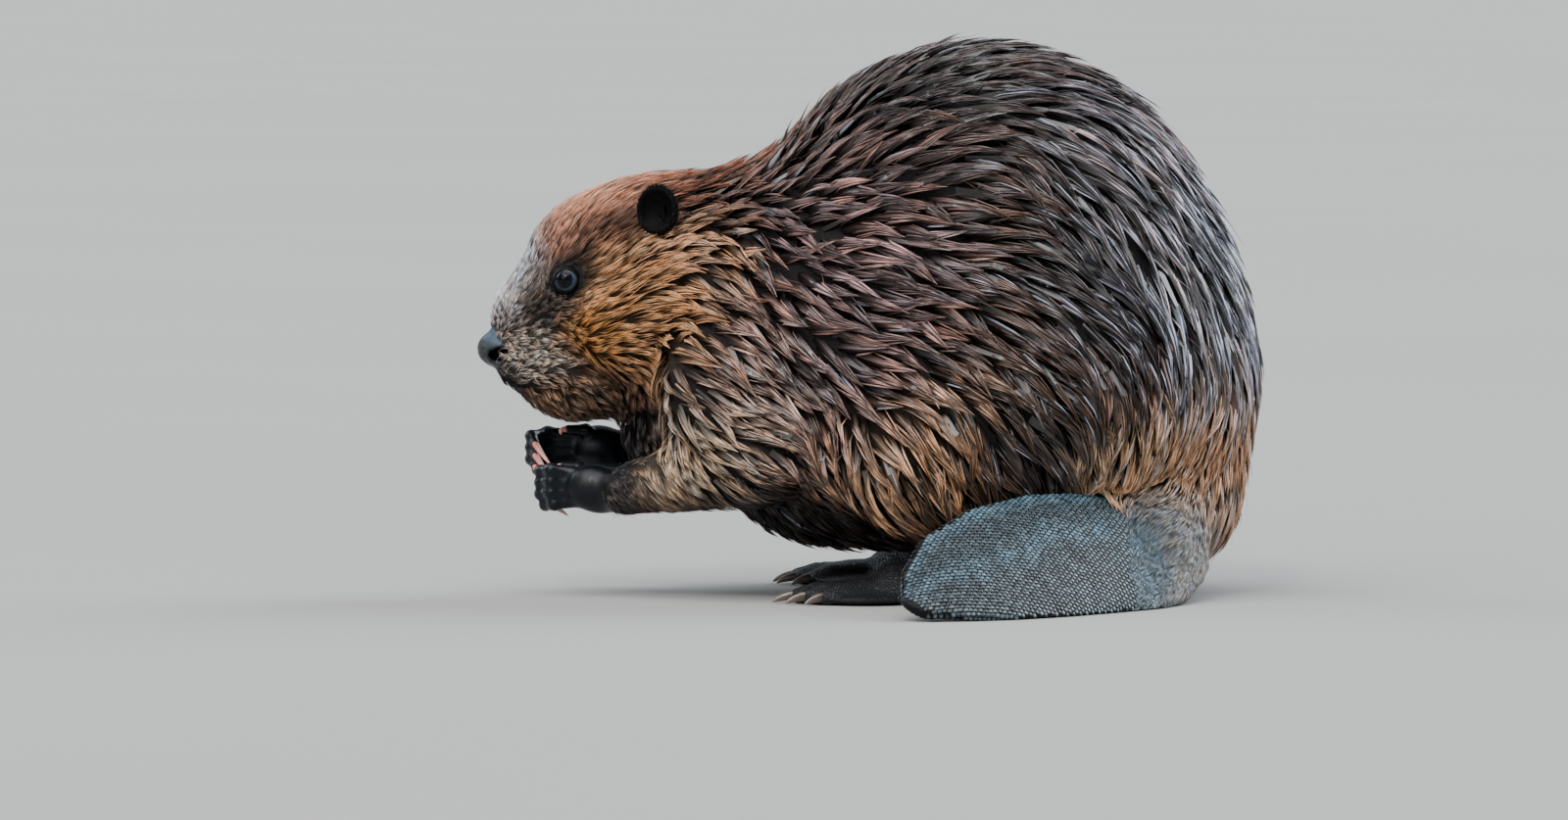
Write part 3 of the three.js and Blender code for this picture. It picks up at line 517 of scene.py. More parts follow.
# ------------------------------------------------------------------ markings, and painted shade and sheen, shared by skin and coat
BROWN = srgb(100, 74, 62)
MARKINGS_AND_PAINTED_LIGHT = [
    # colour, middle, half sizes, softness, all in the animal's own frame, and True for a marking of the left side alone
    (srgb(74, 58, 54), (60, 0, 300), (150, 110, 74), 0.5),  # back, darkest
    (srgb(138, 106, 84), (40, -120, 96), (120, 60, 44), 0.5),  # lower flank
    (srgb(214, 166, 126), (2, -120, 92), (52, 60, 36), 0.6),  # lower flank, lighter in front of the thigh
    (srgb(62, 57, 62), (116, -100, 210), (42, 60, 62), 0.6),  # hip
    (srgb(150, 138, 142), (150, -50, 262), (62, 90, 44), 0.6),  # loin
    (srgb(226, 228, 242), (218, -30, 190), (58, 110, 92), 0.5),  # rump, grey hair lightened to blue-white as painted sheen
    (srgb(255, 204, 166), (204, -30, 98), (62, 100, 58), 0.6),  # low rump
    (srgb(150, 120, 116), (-40, -90, 180), (70, 60, 80), 0.5),  # shoulder
    (srgb(114, 82, 73), (-88, -60, 165), (42, 50, 70), 0.5),  # neck
    (srgb(180, 146, 131), (-92, -70, 144), (34, 44, 28), 0.6),  # low neck
    (srgb(212, 178, 160), (-84, -70, 106), (38, 44, 28), 0.6),  # low shoulder
    (srgb(152, 91, 60), (-128, 0, 244), (60, 48, 30), 0.5),  # crown, rufous
    (srgb(232, 168, 134), (-168, 0, 220), (38, 36, 32), 0.6),  # forehead
    (srgb(255, 192, 134), (-140, -56, 160), (40, 34, 38), 0.5),  # cheek, golden
    (srgb(255, 200, 156), (-108, -58, 198), (30, 26, 18), 0.5),  # below and behind the ear
    (srgb(212, 208, 208), (-206, 0, 180), (18, 24, 34), 0.55),  # bridge of the nose, silver-grey hair lightened as painted sheen
    (srgb(134, 119, 106), (-189, -30, 165), (14, 22, 18), 0.5),  # side of the muzzle
    (srgb(84, 73, 66), (-192, -28, 159), (13, 16, 13), 0.6),  # dark patch above the lip
    (srgb(206, 190, 172), (-194, -26, 136), (22, 22, 14), 0.5),  # upper lip
    (srgb(204, 144, 80), (-168, -40, 146), (18, 22, 15), 0.5),  # corner of the mouth
    (srgb(144, 114, 90), (-172, -16, 112), (26, 24, 14), 0.5),  # chin
    (srgb(84, 58, 44), (-158, -46, 206), (28, 20, 9), 0.6),  # streak from eye to ear
    (srgb(40, 32, 30), (-176, -36, 180), (11.5, 12, 10.5), 0.3),  # round the eye
    (srgb(34, 27, 25), (-185, -32, 174), (7, 8, 4), 0.4),  # front corner of the eye
    (srgb(20, 18, 20), (-216, 0, 117), (16, 30, 17), 0.35),  # front of the lips
    (srgb(30, 23, 20), (-128, -14, 98), (42, 34, 15), 0.5),  # throat, painted shade under the chin
    (srgb(188, 162, 134), (-110, -62, 84), (40, 36, 34), 0.5),  # front of the foreleg
    (srgb(50, 52, 58), (-142, -34, 64), (13, 18, 18), 0.6),  # wrist
    (srgb(34, 26, 22), (-66, -60, 50), (58, 66, 20), 0.5),  # below the elbow, painted shade under the foreleg
    (srgb(34, 26, 23), (-96, 0, 90), (56, 40, 40), 0.5),  # chest, painted shade between the forelegs and under the head
    (srgb(70, 56, 50), (88, -130, 98), (40, 50, 36), 0.6),  # thigh
    (srgb(58, 44, 38), (52, -136, 54), (60, 30, 24), 0.5),  # hem, painted shade along the coat's lower edge
    (srgb(40, 30, 25), (30, 0, 18), (130, 106, 24), 0.5),  # belly, painted shade under the body
    (srgb(255, 212, 168), (150, -84, 86), (46, 60, 34), 0.6),  # root of the tail, tan, lightened as painted light
    (srgb(170, 168, 164), (182, -94, 29), (54, 88, 41), 0.7, True),  # short fur at the scales' edge
    (srgb(112, 132, 142), (152, -126, 26), (17, 58, 46), 0.7, True),  # and its blue-grey border
]


def tone(P):
    """Colour of the hair at loose points of the body, with the painted shade and painted sheen that some of its entries
    carry.
    """
    P = np.asarray(P, float)
    c = np.repeat(BROWN[None], len(P), 0)
    for colour, at, r, soft, *one_side in MARKINGS_AND_PAINTED_LIGHT:
        m = blob(P, at, r, soft, not one_side)[:, None]
        c = c * (1 - m) + colour * m
    return c


# ------------------------------------------------------------------ how the coat lies
# name: place, way the hair points, length, lock spacing, hairs in a lock, hair width, height of the tips as a share of the coat's depth,
# how far a lock closes to a point, spread of directions in degrees, reach of this entry
LIE = {
    "nose_tip": ((-211, 0, 158), (0.4, 0, 0.92), 5, 2.3, 8, 0.36, 0.7, 0.3, 6, 11),
    "nose_bridge": ((-203, 0, 178), (0.5, 0, 0.87), 11, 2.7, 9, 0.36, 0.75, 0.25, 4, 14),
    "stop": ((-190, 0, 202), (0.6, 0, 0.8), 13, 3.0, 10, 0.38, 0.75, 0.3, 4, 16),
    "forehead": ((-168, 0, 224), (0.78, 0, 0.6), 18, 3.6, 13, 0.4, 0.8, 0.35, 4, 18),
    "crown": ((-132, 0, 242), (1, 0, 0.12), 23, 4.6, 16, 0.44, 0.8, 0.5, 6, 22),
    "brow": ((-170, -26, 203), (0.66, 0, 0.72), 13, 3.0, 10, 0.37, 0.75, 0.3, 4, 12),
    "temple": ((-148, -42, 208), (0.8, 0, 0.5), 19, 3.8, 13, 0.4, 0.75, 0.42, 5, 15),
    "bridge_side": ((-199, -17, 168), (0.58, 0, 0.8), 10, 2.5, 9, 0.35, 0.75, 0.3, 4, 11),
    "before_eye": ((-188, -24, 180), (0.62, 0, 0.78), 9, 2.4, 8, 0.35, 0.65, 0.3, 5, 9),
    "muzzle_side": ((-195, -24, 152), (0.85, -0.1, 0.35), 8, 2.7, 9, 0.38, 0.9, 0.85, 18, 10),
    "lip": ((-199, -20, 134), (0.75, -0.1, -0.3), 8, 3.0, 10, 0.4, 1.0, 0.95, 38, 10),
    "lip_back": ((-184, -27, 139), (0.85, -0.15, -0.2), 9, 3.1, 10, 0.4, 1.0, 0.95, 30, 10),
    "under_eye": ((-172, -34, 165), (0.95, -0.1, 0.2), 16, 3.2, 12, 0.39, 0.8, 0.5, 5, 11),
    "behind_eye": ((-155, -42, 181), (0.97, 0, 0.2), 22, 4.0, 14, 0.42, 0.85, 0.6, 6, 12),
    "cheek": ((-146, -50, 163), (0.88, 0, 0.42), 26, 4.6, 20, 0.44, 0.85, 0.72, 7, 14),
    "cheek_low": ((-156, -42, 142), (0.82, 0, 0.52), 22, 4.4, 17, 0.44, 0.9, 0.78, 8, 13),
    "cheek_back": ((-122, -56, 166), (0.9, 0, 0.38), 26, 5.8, 22, 0.5, 0.95, 0.92, 9, 16),
    "jaw": ((-158, -32, 123), (0.85, -0.1, 0.1), 13, 3.4, 11, 0.43, 1.0, 0.85, 16, 12),
    "chin": ((-176, -14, 108), (0.65, -0.1, -0.6), 11, 3.2, 10, 0.4, 1.0, 0.85, 22, 12),
    "throat": ((-140, -16, 102), (0.9, 0, -0.35), 14, 4.4, 13, 0.5, 0.9, 0.8, 12, 16),
    "ear_front": ((-138, -46, 222), (0.7, 0, 0.62), 14, 3.2, 12, 0.38, 0.75, 0.4, 5, 12),
    "ear_below": ((-118, -56, 200), (0.95, 0, 0.05), 22, 5.0, 18, 0.45, 1.0, 0.9, 11, 12),
    "ear_behind": ((-98, -50, 222), (0.92, 0, -0.3), 25, 6.4, 22, 0.52, 0.95, 0.93, 12, 15),
    "nape": ((-92, 0, 250), (0.95, 0, 0.3), 26, 7.0, 24, 0.56, 0.9, 0.92, 10, 22),
    "neck_top": ((-78, -45, 235), (0.88, 0, -0.4), 28, 8.6, 30, 0.6, 0.95, 0.97, 14, 20),
    "neck_side": ((-82, -62, 196), (0.85, 0, -0.48), 27, 9.2, 34, 0.6, 0.95, 0.97, 15, 18),
    "neck_low": ((-92, -60, 158), (0.78, 0, -0.6), 27, 9.2, 34, 0.6, 0.95, 0.98, 15, 18),
    "shoulder_front": ((-96, -64, 130), (0.86, 0, -0.48), 27, 9.2, 34, 0.6, 0.95, 0.98, 15, 17),
    "shoulder": ((-52, -88, 172), (0.72, 0, -0.66), 31, 10.2, 38, 0.64, 0.95, 0.97, 12, 24),
    "shoulder_top": ((-40, -60, 240), (0.93, 0, -0.2), 33, 10.2, 37, 0.66, 0.95, 0.96, 12, 26),
    "shoulder_low": ((-62, -86, 128), (0.93, 0, -0.35), 31, 9.8, 36, 0.64, 0.95, 0.97, 12, 20),
    "upper_arm": ((-84, -80, 106), (0.8, 0, -0.6), 29, 8.0, 29, 0.58, 0.9, 0.93, 8, 17),
    "forearm": ((-114, -58, 88), (0.4, 0, -0.9), 25, 6.0, 23, 0.52, 0.9, 0.85, 7, 15),
    "forearm_low": ((-106, -60, 62), (0.75, 0, -0.6), 18, 4.4, 16, 0.44, 0.85, 0.7, 7, 14),
    "elbow": ((-66, -80, 72), (0.92, 0, -0.35), 28, 8.4, 29, 0.6, 0.9, 0.93, 9, 18),
    "wrist": ((-138, -38, 66), (0.75, 0, -0.5), 11, 2.8, 9, 0.28, 0.5, 0.3, 6, 10),
    "chest": ((-106, 0, 96), (0.5, 0, -0.85), 21, 7.2, 23, 0.62, 0.9, 0.88, 12, 26),
    "breast": ((-24, -60, 56), (0.75, 0, -0.65), 30, 9.6, 29, 0.74, 0.9, 0.92, 12, 34),
    "withers": ((-28, 0, 284), (0.9, 0, 0.42), 38, 9.8, 36, 0.66, 0.92, 0.94, 8, 30),
    "withers_side": ((-20, -64, 268), (0.97, 0, 0.15), 38, 10.4, 37, 0.66, 0.95, 0.95, 10, 30),
    "back": ((60, 0, 320), (1, 0, -0.02), 46, 10.6, 36, 0.68, 0.92, 0.95, 8, 36),
    "back_side": ((60, -72, 292), (1, 0, -0.06), 46, 11.0, 38, 0.68, 0.95, 0.95, 11, 32),
    "loin": ((140, 0, 298), (0.82, 0, -0.57), 50, 10.6, 33, 0.66, 0.95, 0.95, 8, 34),
    "loin_side": ((118, -82, 256), (0.72, 0, -0.68), 50, 10.8, 33, 0.66, 0.95, 0.95, 10, 26),
    "hip": ((124, -100, 210), (0.42, 0, -0.9), 48, 10.6, 31, 0.66, 0.95, 0.95, 10, 26),
    "flank_front": ((-10, -108, 210), (0.97, 0, -0.12), 37, 10.6, 38, 0.66, 0.95, 0.96, 11, 32),
    "flank": ((50, -116, 196), (0.97, 0, -0.14), 42, 11.0, 38, 0.68, 0.95, 0.96, 11, 32),
    "flank_back": ((96, -112, 168), (0.75, 0, -0.66), 42, 10.6, 35, 0.66, 0.95, 0.95, 10, 26),
    "rump_top": ((192, 0, 232), (0.5, 0, -0.87), 54, 10.6, 29, 0.66, 0.95, 0.95, 7, 34),
    "rump_side": ((176, -66, 186), (0.14, 0, -1), 54, 10.6, 29, 0.66, 0.95, 0.95, 7, 32),
    "rump": ((224, 0, 130), (0, 0, -1), 52, 10.6, 29, 0.68, 0.92, 0.95, 7, 36),
    "rump_low": ((206, -30, 62), (-0.4, -0.2, -0.9), 34, 8.4, 27, 0.64, 0.9, 0.88, 8, 30),
    "belly_side": ((10, -116, 140), (0.86, 0, -0.5), 36, 10.4, 36, 0.66, 0.95, 0.96, 12, 30),
    "thigh_top": ((70, -126, 122), (0.68, 0, -0.73), 37, 10.4, 36, 0.66, 0.95, 0.95, 12, 28),
    "thigh": ((52, -132, 82), (0.45, 0, -0.88), 36, 10.0, 35, 0.66, 1.0, 0.97, 12, 24),
    "thigh_front": ((-10, -112, 86), (0.72, 0, -0.7), 35, 10.0, 35, 0.66, 1.0, 0.97, 12, 24),
    "hem": ((56, -122, 42), (0.12, 0, -1), 36, 9.4, 32, 0.66, 1.0, 0.98, 11, 20),
    "haunch_back": ((142, -104, 96), (0.05, -0.2, -0.95), 32, 8.6, 29, 0.62, 0.95, 0.92, 11, 24),
    "root": ((176, -62, 84), (-0.35, -0.35, -0.87), 23, 4.8, 22, 0.43, 0.65, 0.35, 4, 22),
    "root_edge": ((168, -84, 46), (-0.55, -0.7, -0.45), 13, 3.2, 14, 0.34, 0.4, 0.15, 3, 20),
    "stem": ((178, -88, 24), (-0.75, -0.5, -0.45), 13, 3.0, 13, 0.32, 0.36, 0.15, 2.5, 20),
    "belly": ((30, 0, 26), (1, 0, 0), 20, 8.8, 17, 0.95, 0.8, 0.85, 12, 44),
    "shank": ((52, -92, 38), (0.8, 0, -0.6), 17, 6.0, 14, 0.58, 0.9, 0.85, 10, 18),
}
_rows = []
for at, way, *numbers in LIE.values():
    _rows.append((*at, *unit(way), *numbers))
    if at[1]:
        _rows.append((at[0], -at[1], at[2], *(unit(way) * (1, -1, 1)), *numbers))
_rows = np.array(_rows, float)


def lie(P):
    """The way the hair points at loose points, and the other numbers of LIE there, each blended from the entries near by."""
    d2 = ((P[:, None, :] - _rows[None, :, :3]) ** 2).sum(-1)
    e = -0.5 * d2 / _rows[None, :, -1] ** 2
    w = np.exp(e - e.max(1, keepdims=True))
    w /= w.sum(1, keepdims=True)
    out = w @ _rows[:, 3:]
    return unit(out[:, :3]), out[:, 3:]


def coat_base(P):
    """The skin's field without its small folds, for the hair to follow."""
    P = np.asarray(P, np.float32)
    d = furred(P)
    d = add(d, P, (-228, -16, 126), (-190, 16, 154), lambda Q: ellipsoid(Q, NOSE["at"], NOSE["r"]), 4)
    for s in (-1, 1):
        at = (EYE_AT[0] + 1.0, s * 24.0, EYE_AT[2] + 0.5)
        d = add(d, P, np.array(at) - 14, np.array(at) + 14, lambda Q, at=at: ellipsoid(Q, at, (12.4, 10.2, 11.9)), 7)
    for s in (-1, 1):
        at = np.array((EAR["at"][0], EAR["at"][1] * -s, EAR["at"][2]), float)
        d = add(d, P, at - 18, at + 18, lambda Q, s=s: ear_shell(Q, s), 3)
    # the furred stem of the tail
    return add(d, P, (112, -165, -10), (205, -38, 80), lambda Q: smax(blade(Q), 122 - Q[:, 0], 3), 7)


def scatter(P, gap, most):
    """Indices of points kept so that none is nearer another than its own gap."""
    cell = gap.max()
    grid, kept = {}, []
    keys = np.floor(P / cell).astype(int)
    pts, gaps = P.tolist(), (gap**2).tolist()
    for i, (a, b, c) in enumerate(keys.tolist()):
        x, y, z = pts[i]
        g2 = gaps[i]
        free = True
        for da in (-1, 0, 1):
            for db in (-1, 0, 1):
                for dc in (-1, 0, 1):
                    for j in grid.get((a + da, b + db, c + dc), ()):
                        u, v, w = pts[j]
                        if (x - u) ** 2 + (y - v) ** 2 + (z - w) ** 2 < g2:
                            free = False
                            break
                    if not free:
                        break
                if not free:
                    break
            if not free:
                break
        if free:
            grid.setdefault((a, b, c), []).append(i)
            kept.append(i)
            if len(kept) >= most:
                break
    return np.array(kept)


def face_points(n):
    """n random points on the skin's faces, more where locks stand closer, with the face each lies on."""
    a, b, c, d = (skin_v[skin_q[:, i]] for i in range(4))
    area = (np.linalg.norm(np.cross(b - a, c - a), axis=1) + np.linalg.norm(np.cross(c - a, d - a), axis=1)) / 2
    mid = (a + b + c + d) / 4
    _, num = lie(mid)
    w = area / num[:, 1] ** 2 * hairy_face
    pick = rng.choice(len(w), n, p=w / w.sum())
    u, v = rng.random((2, n, 1))
    return ((a[pick] * (1 - u) + b[pick] * u) * (1 - v) + (d[pick] * (1 - u) + c[pick] * u) * v), pick


mid = skin_v[skin_q].mean(1)
near = parts_of(mid)
fur_d = np.abs(furred(mid))


def stem(P):
    """How far points of the tail stand behind the edge of its scales, towards the body."""
    return P[:, 0] + 0.15 * P[:, 2] - 151 + 1.3 * np.sin(P[:, 2] * 0.33) + 0.8 * np.sin(P[:, 2] * 0.9 + P[:, 1] * 0.4)


def nose_part(P):
    """Under 0 on the nose pad and on the dark bare strip that runs from it down to the lip."""
    return np.minimum(ellipsoid(P, (-218, 0, 138), (12.6, 22, 14.0)), ellipsoid(P, (-218, 0, 124), (9.5, 11.5, 14)))


def eye_part(P):
    """Distance from the lids and from their front corner."""
    d = np.full(len(P), 1e3)
    for s, e in zip((-1, 1), EYES):
        q = P - e
        corner = P - (e + np.array([-7.8, s * 0.4, -4.6]))
        d = np.minimum(d, np.minimum(np.linalg.norm(q, axis=1) - 8.5, np.linalg.norm(corner, axis=1) - 2.0))
    return d


def mouth_part(P):
    """Under 0 in the line of the closed mouth."""
    return np.maximum(np.abs(P[:, 2] - 119.5 - 0.16 * np.clip(P[:, 0] + 205, 0, 40)) - 1.0, np.maximum(P[:, 0] + 182, P[:, 2] - 128))


nose_zone = nose_part(mid)
wander = np.sin(mid @ [0.9, 0.55, 0.7]) + np.sin(mid @ [-0.5, 0.8, 1.1] + 1.0)
hairy_face = (
    (near["hand"] > np.where((fur_d < 1.5) & (mid[:, 0] > -146), np.where(mid[:, 0] > -134, -4.0, 1.0 + 1.1 * wander), 1.0 + np.maximum(wander, 0))) & (near["foot"] > 1.0) & ((near["tail"] > 0.6) | (stem(mid) > 0)) & (nose_zone > 0.3) & (near["ear"] > 1.2) & (eye_part(mid) > 0.2) & (mid[:, 2] > np.where(stem(mid) > 0, 1.2, 4.0))
)
hairy_face &= mouth_part(mid) > 0

points, _ = face_points(64000)
way, num = lie(points)
keep = scatter(points, num[:, 1] * np.where(num[:, 0] > 23, 0.70, 0.84), 10**6)
points = points[keep]
points, normals = onto(points, coat_base)
print("locks", len(points))

T = np.array([0.0, 0.22, 0.44, 0.64, 0.83, 1.0])  # the stations along a lock


def turned(v, n, a):
    """v turned about the unit vectors n by angles a."""
    c, s = np.cos(a)[:, None], np.sin(a)[:, None]
    return v * c + np.cross(n, v) * s + n * (n * v).sum(1, keepdims=True) * (1 - c)


def comb(root, normal, num, way_noise, bend):
    """Lines that run over the skin from their roots, with the skin's normal at each station."""
    S, N = [root], [normal]
    for k in range(1, len(T)):
        d, _ = lie(S[-1])
        d = unit(d - N[-1] * (d * N[-1]).sum(1, keepdims=True))
        d = turned(d, N[-1], way_noise + bend * T[k])
        p = S[-1] + d * (num[:, 0] * (T[k] - T[k - 1]))[:, None]
        p, n = onto(p, coat_base)
        p, n = onto(p, coat_base)
        # hair parts round the eyes
        for s, eye in zip((-1, 1), EYES):
            q = p - eye
            q[:, 1] *= 0.2
            r = np.linalg.norm(q, axis=1)
            m = (r < 7.9) & (p[:, 1] * s > 10)
            p[m] += (q[m] / np.maximum(r[m], 0.1)[:, None]) * (7.9 - r[m])[:, None]
        S.append(p)
        N.append(n)
    return np.stack(S, 1), np.stack(N, 1)


n = len(points)
way, num = lie(points)
num[:, 0] *= rng.uniform(0.82, 1.15, n)
noise = np.radians(num[:, 6]) * rng.standard_normal(n) * 0.7
for eye in EYES:
    to = eye - points
    dist = np.linalg.norm(to * (1, 0.5, 1), axis=1)
    toward = (unit(to) * way).sum(1)
    m_ = (dist < 30) & (toward > 0.35)
    num[m_, 0] = np.minimum(num[m_, 0], np.maximum(dist[m_] - 7.0, 1.5) / toward[m_])
# neighbours lean alike, so the coat parts into broad streams
wave = np.sin(points @ [0.045, 0.06, 0.05]) + np.sin(points @ [-0.07, 0.03, 0.09] + 1.7)
noise += np.radians(num[:, 6]) * 0.45 * wave
bend = np.radians(num[:, 6]) * rng.standard_normal(n) * 0.55
S, N = comb(points, normals, num, noise, bend)
flat = S.reshape(-1, 3)
depth = np.maximum(-furred(flat, bare=False), np.where(flat[:, 0] < -100, 1.3, 0.8)).reshape(n, len(T))
lift = num[:, 4] * rng.uniform(0.62, 1.0, n)
high = depth[:, :1] * 0.3 + depth * 0.7
H = -0.9 + (high * lift[:, None] + 0.9) * (1 - (1 - T[None]) ** 1.7)
H = np.minimum(H, depth * 0.98)
tang = unit(np.gradient(S, axis=1))
side = unit(np.cross(tang, N))

# Leaders draw the tips of the locks round them a little together.
lead = scatter(points, num[:, 1] * 2.4, 10**6)
from mathutils.kdtree import KDTree  # noqa: E402

tree = KDTree(len(lead))
for i, j in enumerate(lead):
    tree.insert(points[j], i)
tree.balance()
proud = (rng.random(n) < 0.07) & (points[:, 2] > 236) & (num[:, 0] > 27)
mine = lead[np.array([tree.find(p)[1] for p in points])]
away = points - points[mine]
sideways = (away * side[:, 0]).sum(1)
pull = -sideways * rng.uniform(0.05, 0.4, n) * num[:, 5]
line = S + N * H[..., None] + side * (pull[:, None] * T[None] ** 1.6)[..., None]
line += N * (proud * rng.uniform(2.0, 6.0, n))[:, None, None] * (T[None] ** 2)[..., None]

# ------------------------------------------------------------------ each lock: a ridged wedge with a few single hairs over it
closing = num[:, 5]
half = num[:, 1] * rng.uniform(0.46, 0.70, n) * (1.16 - 0.16 * step(16, 27, num[:, 0])) * (1 - 0.22 * blob(points, (165, -50, 215), (100, 120, 105), 0.6))
pointed = rng.uniform(0.9, 1.2, n)
taper = 1 - T[None] ** pointed[:, None]
half_at = half[:, None] * taper
TG = unit(np.gradient(line, axis=1))
SD = unit(np.cross(TG, N))
UP = unit(np.cross(SD, TG))
turn_ = rng.normal(0, 0.22, n)[:, None, None]
SD, UP = SD * np.cos(turn_) + UP * np.sin(turn_), UP * np.cos(turn_) - SD * np.sin(turn_)

lock_colour = tone(points)
stemmed = blob(points, (182, -96, 29), (53, 86, 45), 0.6, False)
sunny = blob(points, (176, -76, 92), (56, 70, 34), 0.6)  # the tan fur over the root of the tail, lightened below as painted light
even = 1 - 0.4 * sunny * (1 - stemmed) - 0.75 * stemmed - 0.55 * step(28, 16, num[:, 0]) * (1 - stemmed)  # how much the locks differ from their neighbours
kind = rng.random(n)
differ = np.clip(1 + 0.24 * rng.standard_normal(n), 0.45, 1.7) * np.where(kind < 0.20, 0.42, np.where(kind > 0.88, 1.5, 1.0))
lock_colour = lock_colour * (differ**even)[:, None]
warm = rng.standard_normal(n) * 0.07
lock_colour = lock_colour * np.stack([1 + warm, 1 + 0 * warm, 1 - warm], 1)
# painted light: the locks over the root of the tail are lightened and warmed beyond their tan
lock_colour = lock_colour * (1 + (sunny * (1 - stemmed))[:, None] * np.array([[0.34, 0.22, 0.10]]))

finer = np.where(num[:, 0] < 14, 1.36, np.where(num[:, 0] < 23, 1.06, 0.60))
wet = blob(points, (165, -50, 215), (100, 120, 105), 0.6) * (0.4 + 0.6 * step(80, 180, points[:, 0]))  # the back and rump, where wet hair hangs together in thin strands
finer = finer * (1 - 0.40 * wet)
count = np.maximum(3, np.round(num[:, 2] * finer * 1.0 + rng.uniform(-0.5, 0.5, n))).astype(int)
lock = np.repeat(np.arange(n), count)
m = len(lock)
T_H = np.array([0.0, 0.30, 0.64, 1.0])  # the stations along a single hair
T_S = np.array([0.0, 0.55, 1.0])  # and along a short one
# the hairs of a lock gather in strands, each with its own place across the lock, its own ends and its own shade
MOST = 12
long_ = step(16, 27, num[:, 0])
strands = np.clip(np.round(count / (2.6 + 1.8 * long_)), 2, MOST).astype(int)
first = np.concatenate([[0], np.cumsum(count)[:-1]])
strand = (np.arange(m) - first[lock]) % strands[lock]
begin = (rng.uniform(0.02, 0.40, (n, MOST)) * (0.3 + 0.7 * long_)[:, None])[lock, strand]
share = rng.uniform(0.74, 1.06, (n, MOST))[lock, strand] * rng.uniform(0.90, 1.04, m)
tt = np.minimum(begin[:, None] + (share - begin)[:, None] * T_H[None], 1.0)


def along(values, t):
    """Values at the stations of each hair's lock, read at the shares t of the lock's length."""
    k = np.clip(np.searchsorted(T, t, side="right") - 1, 0, len(T) - 2)
    f = (t - T[k]) / (T[k + 1] - T[k])
    v = values[lock]
    r = np.arange(m)[:, None]
    if values.ndim == 3:
        f = f[..., None]
    return v[r, k] * (1 - f) + v[r, k + 1] * f


P, TGh, SDh, UPh, half_h = (along(v, tt) for v in (line, TG, SD, UP, half_at))
TGh, SDh, UPh = unit(TGh), unit(SDh), unit(UPh)
u = (strand + 0.5 + rng.uniform(-0.45, 0.45, (n, MOST))[lock, strand]) / strands[lock] * 2 - 1
u = u + rng.normal(0, 1, m) * np.where(long_[lock] > 0.5, 0.055, 0.16)
free = 1 - closing[lock] * rng.uniform(0.9, 1.0, m)  # how far a hair keeps to its own line
reach_ = half_h * (1 - free[:, None]) + half[lock][:, None] * free[:, None]
amp = rng.normal(0, 0.012, m) * num[lock, 0] * (1 - long_[lock])
wavy = amp[:, None] * (T_H * (1 - T_H) * 4)[None]
P = P + SDh * (u[:, None] * reach_ * 1.04 + wavy)[..., None]
P = P + UPh * (half_h * 0.16 * (1 - u[:, None] ** 2) + 0.08 + (rng.uniform(-0.3, 1.2, m)[:, None] * np.minimum(half[lock], 3.0)[:, None] * 0.16))[..., None]
rise_ = np.stack([np.interp(b_, T, np.arange(len(T))) for b_ in (begin,)], 0)[0]
k_ = np.floor(rise_).astype(int)
h0 = H[lock, k_] * (1 - (rise_ - k_)) + H[lock, np.minimum(k_ + 1, len(T) - 1)] * (rise_ - k_)
P[:, 0] -= UPh[:, 0] * (np.maximum(h0 + 0.6, 0) * 0.85)[:, None]  # each hair starts at the skin
over = np.maximum(share - 1, 0) * num[lock, 0]
P = P + TGh * (over[:, None] * T_H[None] ** 3)[..., None]
# stray ends stand off the coat
stray = rng.random(m) < 0.03
P[stray] += UPh[stray] * (T_H[None] ** 2 * rng.uniform(0.5, 3.0, stray.sum())[:, None] * np.minimum(num[lock[stray], 0] / 25, 1)[:, None])[..., None]
P[..., 2] = np.maximum(P[..., 2], 0.8)
line[..., 2] = np.maximum(line[..., 2], 2.0)

TGh = unit(np.gradient(P, axis=1))
SDh = unit(np.cross(TGh, UPh))
UPh = unit(np.cross(SDh, TGh))
roll = rng.uniform(-0.4, 0.4, m)[:, None, None]
SDh, UPh = SDh * np.cos(roll) + UPh * np.sin(roll), UPh * np.cos(roll) - SDh * np.sin(roll)
width = num[lock, 3] * rng.uniform(0.55, 1.05, m) * (1 + 0.19 * long_ + 0.20 * wet)[lock]
WIDE = np.array([0.8, 1.0, 0.85, 0.0])
WIDE_S = np.array([0.8, 1.0, 0.0])

root = points[lock] + side[lock, 0] * (u * half[lock])[:, None]
kind = rng.random((n, MOST))[lock, strand]
contrast = 0.45 + 0.55 * long_ - 0.30 * sunny + 0.20 * wet + 0.8 * blob(points, (-196, -24, 135), (22, 20, 20)) + 0.4 * blob(points, (-172, -16, 112), (26, 26, 16)) - 0.42 * stemmed
shade = np.where(kind < 0.36 + 0.06 * wet[lock], 0.32 - 0.16 * wet[lock], np.where(kind < 0.66 - 0.06 * wet[lock], 1.0 - 0.2 * wet[lock], 1.7 + 1.3 * wet[lock])) ** contrast[lock] * np.clip(1 + 0.14 * rng.standard_normal(m), 0.6, 1.5)
colour = lock_colour[lock] * shade[:, None]
# painted glint: some wet strands of the back and rump are coloured blue-white for the sky's reflection
glint_share = (0.03 + 0.53 * wet + 0.22 * wet * step(170, 225, points[:, 0])) * long_ * step(-110, -70, points[:, 0])
glint_strand = (rng.random((n, MOST))[lock, strand] < glint_share[lock]) & (kind > 0.40)
colour[glint_strand] = np.array([0.38, 0.42, 0.52]) * rng.uniform(0.6, 1.35, (glint_strand.sum(), 1)) * 1.22 + colour[glint_strand] * 0.15
MERGE = np.array([0.0, 0.08, 0.35, 0.75])  # how far the strands of a long lock share one colour along its length
